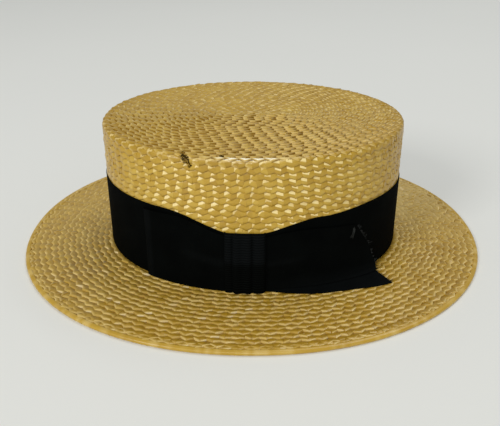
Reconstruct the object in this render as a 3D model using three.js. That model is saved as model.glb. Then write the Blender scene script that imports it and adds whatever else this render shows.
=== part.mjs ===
// A straw boater: a hollow straw crown, a flat straw brim, a ribbon round the crown and its flat bow.
//
// Millimetres, +Z up. The origin is the centre of the brim's underside, on which the hat rests.
// -X is the wearer's front. The bow is on the wearer's left side, which faces -Y.
// Places on the ribbon are given as a distance along the crown's foot, a distance out from the
// straw wall and a height, and wallPoint turns them into X, Y and Z.

import * as THREE from "three";

// Straw: the crown
const crownLength = 204; // outside, at the foot, front to back
const crownWidth = 167.3; // outside, at the foot, side to side
const crownHeight = 88.3; // from the brim's underside to the tip
const crownLean = 2; // how far each side leans in from the foot to the tip
const crownWall = 2.2;
const shoulderRadius = 2.5;
const crownSetBack = 0.87; // how far the crown's centre lies behind the brim's

// Straw: the brim
const brimReach = 58.3; // from the crown's foot to the edge
const brimThickness = 2.5;
const brimEdgeRadius = 0.9;
const brimFullness = 2.09; // the power of the edge's oval, where 2 is a plain ellipse

// Ribbon
const ribbonWidth = 48.5;
const ribbonThickness = 1;
const gatheredWidth = 38.7; // the ribbon's width where the knot gathers it
const gatherReach = 48; // how far from the knot's middle the gathers draw the edge down
const seatGap = 0.3; // between pieces that lie on each other

// Bow
const bowPlace = -4.9; // the knot's middle, along the foot from the middle of the left side
const knotWidth = 24.6;
const pleatLift = 0.9; // how far the knot's middle pleat stands out from the grooves beside it
const loopReach = 63.5; // from the knot's middle to the loop's fold
const loopGap = 0.6; // between the loop's two layers
const loopWidth = 47.3; // the loop's width at its fold
const tailReach = 85.4; // from the knot's middle to the furthest point of the cut end
const tailFlare = 21.7; // how far the tail's lower edge stands out from the rest of it at the cut
const ridgeLift = 2; // how far the pinched ribbon bulges beside the knot, at mid-height

// How finely the curved walls are faceted
const ovalSteps = 120;
const shoulderSteps = 3;
const edgeSteps = 3;
const foldSteps = 4;
const loopSteps = 9;
const tailSteps = 14;
const marchSteps = 200;

const halfLength = crownLength / 2;
const halfWidth = crownWidth / 2;
const ribbonFoot = brimThickness + seatGap;
const halfRibbon = ribbonThickness / 2;

// Where each layer's middle lies, out from the straw wall
const bandOut = seatGap + halfRibbon;
const underOut = bandOut + ribbonThickness + seatGap;
const overOut = underOut + ribbonThickness + loopGap;
const knotOut = overOut + ribbonThickness + seatGap;

// The band's upper edge beside the bow. along: share of gatherReach from the knot's middle.
// loopSide, tailSide: how far the edge has risen from the gathered width (0) to the full width (1).
const bandEdgeRows = [
  { along: 0, loopSide: 0, tailSide: 0 },
  { along: 0.25, loopSide: 0.1, tailSide: 0.11 },
  { along: 0.45, loopSide: 0.42, tailSide: 0.38 },
  { along: 0.65, loopSide: 0.76, tailSide: 0.65 },
  { along: 0.85, loopSide: 1.05, tailSide: 0.84 },
  { along: 1, loopSide: 1.18, tailSide: 0.87 },
  { along: 1.4, loopSide: 1.16, tailSide: 0.94 },
  { along: 2.5, loopSide: 1.1, tailSide: 1 },
  { along: 5, loopSide: 1, tailSide: 1 },
];

// The bulge of the pinched ribbon. height: share of its own height; out: share of ridgeLift.
const ridgeRows = [
  { height: 0, out: 0 },
  { height: 0.25, out: 0.3 },
  { height: 0.5, out: 0.9 },
  { height: 0.58, out: 1 },
  { height: 0.72, out: 0.55 },
  { height: 1, out: 0 },
];

// How the bulge dies away. along: share of gatherReach from the knot's middle.
const ridgeFadeRows = [
  { along: 0, fade: 1 },
  { along: 0.3, fade: 1 },
  { along: 0.6, fade: 0.6 },
  { along: 0.95, fade: 0 },
];

// The knot's pleats. across: share of knotWidth from its middle; lift: share of pleatLift.
const pleatRows = [
  { across: -0.5, lift: 0 },
  { across: -0.46, lift: 0.45 },
  { across: -0.32, lift: 0.4 },
  { across: -0.29, lift: 0 },
  { across: -0.26, lift: 1 },
  { across: -0.05, lift: 1 },
  { across: 0.145, lift: 0.9 },
  { across: 0.175, lift: 0 },
  { across: 0.205, lift: 0.5 },
  { across: 0.46, lift: 0.45 },
  { across: 0.5, lift: 0 },
];

// The knot from the wall, over the ribbon's upper edge and down its face.
// height: share of gatheredWidth; out: share of the way from the wall to the knot's layer.
const knotRows = [
  { height: 1.05, out: 0 },
  { height: 1.06, out: 0.4 },
  { height: 1.045, out: 0.8 },
  { height: 1.005, out: 1 },
  { height: 0.9, out: 1 },
  { height: 0.72, out: 1 },
  { height: 0.58, out: 1 },
  { height: 0.42, out: 1 },
  { height: 0.2, out: 1 },
  { height: 0.015, out: 1 },
];

// The tail from the knot to its cut end. along: share of tailReach; top: the upper edge's height,
// a share of gatheredWidth; flare: share of tailFlare; lift: share of the way out to the layer
// that the knot lies on.
const tailRows = [
  { along: 0, top: 0.985, flare: 0.02, lift: 0.75 },
  { along: 0.15, top: 0.985, flare: 0.02, lift: 0.75 },
  { along: 0.28, top: 1.03, flare: 0.15, lift: 0.5 },
  { along: 0.38, top: 1.05, flare: 0.27, lift: 0.22 },
  { along: 0.51, top: 1.045, flare: 0.4, lift: 0 },
  { along: 0.645, top: 1.01, flare: 0.51, lift: 0 },
  { along: 0.775, top: 0.975, flare: 0.66, lift: 0 },
  { along: 0.9, top: 0.93, flare: 0.87, lift: 0 },
  { along: 1, top: 0.91, flare: 1, lift: 0 },
];

// The tail from its upper edge to its lower one. height: share of the upper edge's height;
// out: share of the flare; cut: where the slanting cut ends it, a share of tailReach.
const tailProfileRows = [
  { height: 1, out: 0, cut: 0.835 },
  { height: 0.81, out: 0, cut: 0.895 },
  { height: 0.55, out: 0.05, cut: 0.965 },
  { height: 0.3, out: 0.15, cut: 0.99 },
  { height: 0.15, out: 0.23, cut: 1 },
  { height: 0.06, out: 0.31, cut: 0.985 },
  { height: 0.015, out: 0.44, cut: 0.98 },
  { height: 0.005, out: 0.7, cut: 0.97 },
  { height: 0, out: 1, cut: 0.955 },
];

// A smooth curve through two columns of a table.
function tableCurve(rows, at, value) {
  const places = rows.map((row) => row[at]);
  const values = rows.map((row) => row[value]);
  const curve = new THREE.CubicInterpolant(places, values, 1, new Float64Array(1));
  return (place) => curve.evaluate(place)[0];
}

const loopSideEdge = tableCurve(bandEdgeRows, "along", "loopSide");
const tailSideEdge = tableCurve(bandEdgeRows, "along", "tailSide");
const ridgeProfile = tableCurve(ridgeRows, "height", "out");
const ridgeFade = tableCurve(ridgeFadeRows, "along", "fade");
const tailTop = tableCurve(tailRows, "along", "top");
const tailOut = tableCurve(tailRows, "along", "flare");
const tailLift = tableCurve(tailRows, "along", "lift");

// The angle round the crown's foot at a distance along it from the middle of the left side.
function angleAlong(distance) {
  const step = distance / marchSteps;
  const speed = (angle) => Math.hypot(halfLength * Math.sin(angle), halfWidth * Math.cos(angle));
  let angle = -Math.PI / 2;
  for (let i = 0; i < marchSteps; i += 1) {
    const middle = angle + step / 2 / speed(angle);
    angle += step / speed(middle);
  }
  return angle;
}

// Half of the distance round the crown's foot.
function halfRound() {
  let sum = 0;
  for (let i = 0; i < marchSteps; i += 1) {
    const angle = ((i + 0.5) / marchSteps) * Math.PI;
    sum += Math.hypot(halfLength * Math.sin(angle), halfWidth * Math.cos(angle));
  }
  return (sum * Math.PI) / marchSteps;
}

// A point at an angle round the crown, so far out from the leaning wall, at a height.
function wallPoint(angle, out, height) {
  const lean = (crownLean * height) / crownHeight;
  const a = halfLength - lean;
  const b = halfWidth - lean;
  const normal = new THREE.Vector2(b * Math.cos(angle), a * Math.sin(angle)).normalize();
  const x = crownSetBack + a * Math.cos(angle) + out * normal.x;
  const y = b * Math.sin(angle) + out * normal.y;
  return new THREE.Vector3(x, y, height);
}

// A point of the ribbon, so far along from the knot's middle.
function ribbonPoint(fromKnot, out, height) {
  return wallPoint(angleAlong(bowPlace + fromKnot), out, height);
}

// The height of the band's upper edge over its foot, so far from the knot's middle.
function bandEdge(fromKnot) {
  const along = Math.abs(fromKnot) / gatherReach;
  const risen = fromKnot < 0 ? loopSideEdge(along) : tailSideEdge(along);
  return gatheredWidth + (ribbonWidth - gatheredWidth) * risen;
}

// How far the pinched ribbon bulges out at a place and a share of its height.
function ridgeAt(fromKnot, share) {
  return ridgeLift * ridgeFade(Math.abs(fromKnot) / gatherReach) * ridgeProfile(share);
}

// The volume inside a closed set of triangles, positive where they face out.
function signedVolume(points, triangles) {
  const cross = new THREE.Vector3();
  let sum = 0;
  for (const [i, j, k] of triangles) {
    sum += cross.crossVectors(points[j], points[k]).dot(points[i]) / 6;
  }
  return sum;
}

// A mesh of one closed solid from its corner points and triangles, turned to face out.
function solidMesh(name, points, triangles, material) {
  const faceOut = signedVolume(points, triangles) > 0;
  const index = triangles.flatMap(([i, j, k]) => (faceOut ? [i, j, k] : [i, k, j]));
  const geometry = new THREE.BufferGeometry().setFromPoints(points);
  geometry.setIndex(index);
  geometry.computeVertexNormals();
  const mesh = new THREE.Mesh(geometry, material);
  mesh.name = name;
  return mesh;
}

// The triangles between two neighbouring rows of corners, which may close on themselves.
function strip(first, second, closed) {
  const count = closed ? first.length : first.length - 1;
  const triangles = [];
  for (let i = 0; i < count; i += 1) {
    const next = (i + 1) % first.length;
    triangles.push([first[i], first[next], second[next]]);
    triangles.push([first[i], second[next], second[i]]);
  }
  return triangles;
}

// A solid between two grids of points of the same size, edged all round with thin strips.
function sheetMesh(name, outer, inner, material) {
  const rows = outer.length;
  const columns = outer[0].length;
  const points = [...outer.flat(), ...inner.flat()];
  const corner = (side, row, column) => (side * rows + row) * columns + column;
  const rowOf = (side, row) => Array.from({ length: columns }, (_, column) => corner(side, row, column));
  const columnOf = (side, column) => Array.from({ length: rows }, (_, row) => corner(side, row, column));
  const triangles = [];
  for (let row = 0; row < rows - 1; row += 1) {
    triangles.push(...strip(rowOf(0, row), rowOf(0, row + 1), false));
    triangles.push(...strip(rowOf(1, row + 1), rowOf(1, row), false));
  }
  triangles.push(...strip(rowOf(1, 0), rowOf(0, 0), false));
  triangles.push(...strip(rowOf(0, rows - 1), rowOf(1, rows - 1), false));
  triangles.push(...strip(columnOf(0, 0), columnOf(1, 0), false));
  triangles.push(...strip(columnOf(1, columns - 1), columnOf(0, columns - 1), false));
  return solidMesh(name, points, triangles, material);
}

// A ring-shaped solid: a closed section carried round, one closed row of points for each of its corners.
function ringMesh(name, rings, material) {
  const points = rings.flat();
  const steps = rings[0].length;
  const rowOf = (ring) => Array.from({ length: steps }, (_, step) => (ring % rings.length) * steps + step);
  const triangles = rings.flatMap((_, ring) => strip(rowOf(ring), rowOf(ring + 1), true));
  return solidMesh(name, points, triangles, material);
}

// The two faces of a sheet, half a ribbon to each side of a line of [out, height] pairs.
function sheetFaces(line) {
  return [halfRibbon, -halfRibbon].map((offset) =>
    line.map(([out, height], i) => {
      const [outBefore, heightBefore] = line[Math.max(i - 1, 0)];
      const [outAfter, heightAfter] = line[Math.min(i + 1, line.length - 1)];
      const normal = new THREE.Vector2(heightBefore - heightAfter, outAfter - outBefore).normalize();
      return [out + offset * normal.x, height + offset * normal.y];
    }),
  );
}

// The angles of the corners of every oval of straw.
const ovalAngles = Array.from({ length: ovalSteps }, (_, i) => (i / ovalSteps) * 2 * Math.PI);

// The crown: up the outside, over the shoulder, across the tip and down the inside.
function crownMesh(material) {
  const section = [{ out: 0, height: 0 }];
  for (let i = 0; i <= shoulderSteps; i += 1) {
    const turn = (i / shoulderSteps) * (Math.PI / 2);
    const out = shoulderRadius * (Math.cos(turn) - 1);
    const height = crownHeight + shoulderRadius * (Math.sin(turn) - 1);
    section.push({ out, height });
  }
  const tipRow = section.length - 1;
  section.push({ out: -crownWall, height: crownHeight - crownWall });
  section.push({ out: -crownWall, height: 0 });
  const points = section.flatMap(({ out, height }) =>
    ovalAngles.map((angle) => wallPoint(angle, out, height)),
  );
  const rowOf = (row) => Array.from({ length: ovalSteps }, (_, step) => row * ovalSteps + step);
  const tipTop = points.push(new THREE.Vector3(crownSetBack, 0, crownHeight)) - 1;
  const tipUnder = points.push(new THREE.Vector3(crownSetBack, 0, crownHeight - crownWall)) - 1;
  const fan = (row, centre) => row.map((corner, i) => [corner, row[(i + 1) % row.length], centre]);
  const triangles = [];
  for (let row = 0; row < tipRow; row += 1) {
    triangles.push(...strip(rowOf(row), rowOf(row + 1), true));
  }
  triangles.push(...fan(rowOf(tipRow), tipTop));
  triangles.push(...fan(rowOf(tipRow + 1).reverse(), tipUnder));
  triangles.push(...strip(rowOf(tipRow + 1), rowOf(tipRow + 2), true));
  triangles.push(...strip(rowOf(tipRow + 2), rowOf(0), true));
  return solidMesh("crown", points, triangles, material);
}

// A point of an oval round the brim's centre, fuller than an ellipse.
function brimPoint(angle, inset, height) {
  const power = 2 / brimFullness;
  const bend = (value) => Math.sign(value) * Math.abs(value) ** power;
  const x = (halfLength + brimReach - inset) * bend(Math.cos(angle));
  const y = (halfWidth + brimReach - inset) * bend(Math.sin(angle));
  return new THREE.Vector3(x, y, height);
}

// The brim: a flat ring with a rounded edge, round the crown's foot.
function brimMesh(material) {
  const rings = [ovalAngles.map((angle) => wallPoint(angle, seatGap, 0).setZ(0))];
  for (const rim of [
    { start: -Math.PI / 2, height: brimEdgeRadius },
    { start: 0, height: brimThickness - brimEdgeRadius },
  ]) {
    for (let i = 0; i <= edgeSteps; i += 1) {
      const turn = rim.start + (i / edgeSteps) * (Math.PI / 2);
      const inset = brimEdgeRadius * (1 - Math.cos(turn));
      const height = rim.height + brimEdgeRadius * Math.sin(turn);
      rings.push(ovalAngles.map((angle) => brimPoint(angle, inset, height)));
    }
  }
  rings.push(ovalAngles.map((angle) => wallPoint(angle, seatGap, 0).setZ(brimThickness)));
  return ringMesh("brim", rings, material);
}

// The band: the ribbon once round the wall.
function bandMesh(material) {
  const around = 2 * halfRound();
  const places = Array.from({ length: ovalSteps }, (_, i) => (i / ovalSteps - 0.5) * around);
  const edge = (out, top) =>
    places.map((fromKnot) => ribbonPoint(fromKnot, out, ribbonFoot + (top ? bandEdge(fromKnot) : 0)));
  const inside = bandOut - halfRibbon;
  const outside = bandOut + halfRibbon;
  const rings = [edge(inside, false), edge(outside, false), edge(outside, true), edge(inside, true)];
  return ringMesh("hat_band", rings, material);
}

// The bow's loop: from under the knot's middle to the fold and back over itself.
function loopMesh(material) {
  const middle = (underOut + overOut) / 2;
  const foldRadius = (overOut - underOut) / 2 + halfRibbon;
  const start = -seatGap / 2;
  const straight = loopReach - foldRadius + start;
  const face = (radius) => {
    const columns = [];
    for (let i = 0; i < loopSteps; i += 1) {
      columns.push({ fromKnot: start - (straight * i) / loopSteps, out: middle - radius, front: 0 });
    }
    for (let i = 0; i <= foldSteps; i += 1) {
      const turn = (i / foldSteps - 0.5) * Math.PI;
      const fromKnot = start - straight - radius * Math.cos(turn);
      columns.push({ fromKnot, out: middle + radius * Math.sin(turn), front: i / foldSteps });
    }
    for (let i = loopSteps - 1; i >= 0; i -= 1) {
      columns.push({ fromKnot: start - (straight * i) / loopSteps, out: middle + radius, front: 1 });
    }
    return columns.map(({ fromKnot, out, front }) => {
      const top = Math.min(bandEdge(fromKnot), loopWidth) - seatGap;
      return ridgeRows.map(({ height }) => {
        const bulge = front * ridgeAt(fromKnot, height);
        return ribbonPoint(fromKnot, out + bulge, ribbonFoot + height * top);
      });
    });
  };
  return sheetMesh("bow_loop", face(foldRadius), face(foldRadius - ribbonThickness), material);
}

// The bow's tail: from under the knot's middle to the slanting cut, its lower margin on the brim.
function tailMesh(material) {
  const start = seatGap / 2;
  const faces = [[], []];
  for (let i = 0; i <= tailSteps; i += 1) {
    const line = tailProfileRows.map(({ height, out, cut }) => {
      const fromKnot = start + (i / tailSteps) * (cut * tailReach - start);
      const along = fromKnot / tailReach;
      const seat = underOut + tailLift(along) * (overOut - underOut);
      const bulge = tailLift(along) * ridgeAt(fromKnot, height);
      const lowest = ribbonFoot + halfRibbon;
      const top = gatheredWidth * tailTop(along) - halfRibbon;
      return {
        fromKnot,
        place: [seat + bulge + out * tailFlare * tailOut(along), lowest + height * top],
      };
    });
    sheetFaces(line.map(({ place }) => place)).forEach((face, side) => {
      faces[side].push(face.map(([out, height], row) => ribbonPoint(line[row].fromKnot, out, height)));
    });
  }
  return sheetMesh("bow_tail", faces[0], faces[1], material);
}

// The knot: a pleated wrap over the ribbon's edge and down the face of the bow.
function knotMesh(material) {
  const faces = [[], []];
  for (const { across, lift } of pleatRows) {
    const fromKnot = across * knotWidth;
    const line = knotRows.map(({ height, out }) => {
      const seat = bandOut + out * (knotOut - bandOut);
      const stand = out * (lift * pleatLift + ridgeAt(fromKnot, Math.min(height, 1)));
      return [seat + stand, ribbonFoot + height * gatheredWidth];
    });
    sheetFaces(line).forEach((face, side) => {
      faces[side].push(face.map(([out, height]) => ribbonPoint(fromKnot, out, height)));
    });
  }
  return sheetMesh("bow_knot", faces[0], faces[1], material);
}

const straw = { color: 0xc8a550, roughness: 0.45, metalness: 0 };
const ribbon = { color: 0x08090b, roughness: 0.75, metalness: 0 };
const finish = (values) => new THREE.MeshStandardMaterial(values);

const boater = new THREE.Group();
boater.add(crownMesh(finish(straw)));
boater.add(brimMesh(finish(straw)));
boater.add(bandMesh(finish(ribbon)));
boater.add(loopMesh(finish(ribbon)));
boater.add(tailMesh(finish(ribbon)));
boater.add(knotMesh(finish(ribbon)));

export default boater;
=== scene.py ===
"""A straw boater: plaited straw in sewn rounds, a wide black ribbon and a flat bow."""

import logging
import math
from dataclasses import dataclass, field, replace
from enum import Enum
from typing import Callable, Sequence

import bpy
import numpy as np
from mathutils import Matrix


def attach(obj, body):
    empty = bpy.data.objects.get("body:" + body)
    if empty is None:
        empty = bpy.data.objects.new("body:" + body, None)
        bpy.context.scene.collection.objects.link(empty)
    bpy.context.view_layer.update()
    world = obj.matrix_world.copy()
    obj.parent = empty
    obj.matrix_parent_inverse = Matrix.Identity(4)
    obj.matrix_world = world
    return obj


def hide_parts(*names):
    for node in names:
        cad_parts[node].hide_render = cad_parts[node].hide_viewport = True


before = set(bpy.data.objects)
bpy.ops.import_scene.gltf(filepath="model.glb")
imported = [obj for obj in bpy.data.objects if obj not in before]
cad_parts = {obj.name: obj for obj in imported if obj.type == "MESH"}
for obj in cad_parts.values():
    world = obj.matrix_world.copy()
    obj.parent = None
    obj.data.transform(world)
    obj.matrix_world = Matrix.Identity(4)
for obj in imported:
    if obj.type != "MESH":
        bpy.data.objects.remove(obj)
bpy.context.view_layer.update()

MM = 0.001
TURN = 2.0 * math.pi
FRONT = -math.pi / 2.0
RIBBON_CM = 4.85
log = logging.getLogger("boater")

Placer = Callable[[np.ndarray, np.ndarray, np.ndarray], np.ndarray]


# Shop helpers


class Slot(Enum):
    """The two stuffs that the hat is made of."""

    STRAW = "straw"
    RIBBON = "ribbon"


class Face(Enum):
    """The side of a straw wall that a layer of plait is laid on."""

    OUTSIDE = 1
    INSIDE = -1


def ease(value: np.ndarray, start: float, end: float) -> np.ndarray:
    """A smooth step from 0 at start to 1 at end."""
    share = np.clip((value - start) / (end - start), 0.0, 1.0)
    return share * share * (3.0 - 2.0 * share)


def curve_through(rows: Sequence[tuple[float, float]]) -> Callable[[np.ndarray], np.ndarray]:
    """A smooth curve through (place, value) rows.

    Args:
        rows: the points in order of place.

    Returns:
        A function that reads the curve at an array of places and keeps its ends level.
    """
    places, values = (np.array(column, dtype=float) for column in zip(*rows))
    slopes = np.gradient(values, places)

    def read(at: np.ndarray) -> np.ndarray:
        """The curve's values at an array of places.

        Args:
            at: the places.

        Returns:
            The values there.
        """
        at = np.clip(np.asarray(at, dtype=float), places[0], places[-1])
        i = np.clip(np.searchsorted(places, at, side="right") - 1, 0, len(places) - 2)
        span = places[i + 1] - places[i]
        t = (at - places[i]) / span
        return (
            values[i] * (1 + 2 * t) * (1 - t) ** 2
            + values[i + 1] * t * t * (3 - 2 * t)
            + slopes[i] * span * t * (1 - t) ** 2
            - slopes[i + 1] * span * t * t * (1 - t)
        )

    return read


def even_steps(points: np.ndarray, count: int) -> np.ndarray:
    """Points at even steps along a closed line.

    Args:
        points: the corners of the line, the last one joined to the first.
        count: how many points to return.

    Returns:
        An array of count points that starts at the first corner.
    """
    closed = np.vstack([points, points[:1]])
    run = np.concatenate([[0.0], np.cumsum(np.linalg.norm(np.diff(closed, axis=0), axis=1))])
    stops = np.linspace(0.0, run[-1], count, endpoint=False)
    return np.stack([np.interp(stops, run, column) for column in closed.T], axis=1)


def deselect() -> None:
    """Leaves no object selected."""
    bpy.ops.object.select_all(action="DESELECT")


def added(name: str) -> bpy.types.Object:
    """Names the primitive that was just added, and its mesh.

    Args:
        name: the name to give.

    Returns:
        The object.
    """
    piece = bpy.context.active_object
    piece.name = name
    piece.data.name = name
    return piece


def move_points(piece: bpy.types.Object, points: np.ndarray) -> None:
    """Puts each corner of a piece in its place."""
    piece.data.vertices.foreach_set("co", np.ascontiguousarray(points, dtype=np.float32).ravel())
    piece.data.update()


def corner_places(piece: bpy.types.Object) -> np.ndarray:
    """The corners of a piece as an array.

    Args:
        piece: the piece.

    Returns:
        One x, y and z for each corner, in metres.
    """
    flat = np.empty(len(piece.data.vertices) * 3, dtype=np.float32)
    piece.data.vertices.foreach_get("co", flat)
    return flat.reshape(-1, 3).astype(float)


def lay_map(piece: bpy.types.Object, per_corner: np.ndarray) -> None:
    """Gives a piece a UV map from one pair of numbers for each corner point.

    Args:
        piece: the piece.
        per_corner: one pair of numbers for each corner point.
    """
    mesh = piece.data
    while mesh.uv_layers:
        mesh.uv_layers.remove(mesh.uv_layers[0])
    layer = mesh.uv_layers.new(name="lie")
    index = np.empty(len(mesh.loops), dtype=np.int32)
    mesh.loops.foreach_get("vertex_index", index)
    layer.data.foreach_set("uv", per_corner[index].astype(np.float32).ravel())


def note_on_corners(piece: bpy.types.Object, name: str, values: np.ndarray) -> None:
    """Stores one number a corner point under a name that a finish can read."""
    mark = piece.data.attributes.new(name, "FLOAT", "POINT")
    mark.data.foreach_set("value", values.astype(np.float32))


def smooth(piece: bpy.types.Object, degrees: float) -> None:
    """Shades a piece smooth, but not across edges that turn more than so many degrees.

    Args:
        piece: the piece.
        degrees: the largest turn that is shaded over.
    """
    deselect()
    piece.select_set(True)
    bpy.context.view_layer.objects.active = piece
    bpy.ops.object.shade_smooth_by_angle(angle=math.radians(degrees))


def hand_over(
    piece: bpy.types.Object, slot: Slot, material: bpy.types.Material, *nodes: str
) -> None:
    """Dresses a finished piece and files it with the hat.

    Args:
        piece: the finished piece.
        slot: the stuff that it is made of; not used.
        material: its finish.
        nodes: the solids that it stands for.
    """
    piece.data.materials.clear()
    piece.data.materials.append(material)
    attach(piece, "root")
    if nodes:
        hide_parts(*nodes)


# Finishes


class Mixer:
    """Builds the node tree of one material."""

    def __init__(self, name: str) -> None:
        """Starts a material with one shader and its output.

        Args:
            name: the material's name.
        """
        self.material = bpy.data.materials.new(name)
        self.material.use_nodes = True
        self.tree = self.material.node_tree
        self.tree.nodes.clear()
        self.shader = self.node("ShaderNodeBsdfPrincipled")
        output = self.node("ShaderNodeOutputMaterial")
        self.join(self.shader.outputs["BSDF"], output.inputs["Surface"])

    def node(self, kind: str, **settings: object) -> bpy.types.Node:
        """A new node of a kind, with its settings.

        Args:
            kind: the node's type.
            settings: its settings by name.

        Returns:
            The node.
        """
        made = self.tree.nodes.new(kind)
        for key, value in settings.items():
            setattr(made, key, value)
        return made

    def join(self, source: bpy.types.NodeSocket, target: bpy.types.NodeSocket) -> None:
        """Links two sockets."""
        self.tree.links.new(source, target)

    def set(self, **values: object) -> None:
        """Sets plain values on the shader's own sockets, with _ for a space in a name."""
        for key, value in values.items():
            self.shader.inputs[key.replace("_", " ")].default_value = value

    def math(self, operation: str, first: object, second: object = 0.0) -> bpy.types.NodeSocket:
        """The result of a sum on two sockets or numbers.

        Args:
            operation: the sum's name.
            first: a socket or number.
            second: a socket or number.

        Returns:
            The result.
        """
        made = self.node("ShaderNodeMath", operation=operation)
        for socket, value in zip(made.inputs, (first, second)):
            if isinstance(value, bpy.types.NodeSocket):
                self.join(value, socket)
            else:
                socket.default_value = value
        return made.outputs[0]

    def lie(self, scale: tuple[float, float, float]) -> bpy.types.NodeSocket:
        """The piece's own map, stretched by a scale.

        Args:
            scale: the stretch each way.

        Returns:
            The stretched map.
        """
        source = self.node("ShaderNodeUVMap", uv_map="lie")
        stretch = self.node("ShaderNodeMapping")
        stretch.inputs["Scale"].default_value = scale
        self.join(source.outputs["UV"], stretch.inputs["Vector"])
        return stretch.outputs["Vector"]

    def place(self) -> bpy.types.NodeSocket:
        """The place on the object, in metres."""
        return self.node("ShaderNodeTexCoord").outputs["Object"]

    def noise(
        self, vector: bpy.types.NodeSocket, scale: float, detail: float = 3.0
    ) -> bpy.types.NodeSocket:
        """A cloudy pattern from 0 to 1.

        Args:
            vector: the place to read at.
            scale: how fine it is.
            detail: its finer layers.

        Returns:
            The pattern.
        """
        made = self.node("ShaderNodeTexNoise")
        made.inputs["Scale"].default_value = scale
        made.inputs["Detail"].default_value = detail
        self.join(vector, made.inputs["Vector"])
        return made.outputs["Fac"]

    def noted(self, name: str) -> bpy.types.NodeSocket:
        """The number that is stored on the corners under a name."""
        return self.node("ShaderNodeAttribute", attribute_name=name).outputs["Fac"]

    def ramp(
        self, value: bpy.types.NodeSocket, stops: Sequence[tuple[float, tuple[float, float, float]]]
    ) -> bpy.types.NodeSocket:
        """Colours along a scale from 0 to 1.

        Args:
            value: the place on the scale.
            stops: each stop's place and colour.

        Returns:
            The colour.
        """
        made = self.node("ShaderNodeValToRGB")
        elements = made.color_ramp.elements
        while len(elements) < len(stops):
            elements.new(1.0)
        for element, (place, colour) in zip(elements, stops):
            element.position = place
            element.color = (*colour, 1.0)
        self.join(value, made.inputs["Fac"])
        return made.outputs["Color"]

    def blend(
        self,
        kind: str,
        amount: bpy.types.NodeSocket | float,
        first: bpy.types.NodeSocket,
        second: bpy.types.NodeSocket | tuple[float, float, float],
    ) -> bpy.types.NodeSocket:
        """Two colours mixed by an amount.

        Args:
            kind: the way of mixing.
            amount: the second colour's share.
            first: the colour below.
            second: the colour above.

        Returns:
            The mixed colour.
        """
        made = self.node("ShaderNodeMix", data_type="RGBA", blend_type=kind)
        if isinstance(amount, bpy.types.NodeSocket):
            self.join(amount, made.inputs["Factor"])
        else:
            made.inputs["Factor"].default_value = amount
        self.join(first, made.inputs["A"])
        if isinstance(second, bpy.types.NodeSocket):
            self.join(second, made.inputs["B"])
        else:
            made.inputs["B"].default_value = (*second, 1.0)
        return made.outputs["Result"]

    def bump(
        self,
        height: bpy.types.NodeSocket,
        strength: float,
        distance: float,
        under: bpy.types.NodeSocket | None = None,
    ) -> bpy.types.NodeSocket:
        """A relief of a height in metres, over another one.

        Args:
            height: the height, read from 0 to 1.
            strength: how strongly it shades.
            distance: the height of 1, in metres.
            under: the relief below.

        Returns:
            The relief.
        """
        made = self.node("ShaderNodeBump")
        made.inputs["Strength"].default_value = strength
        made.inputs["Distance"].default_value = distance
        self.join(height, made.inputs["Height"])
        if under is not None:
            self.join(under, made.inputs["Normal"])
        return made.outputs["Normal"]


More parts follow.
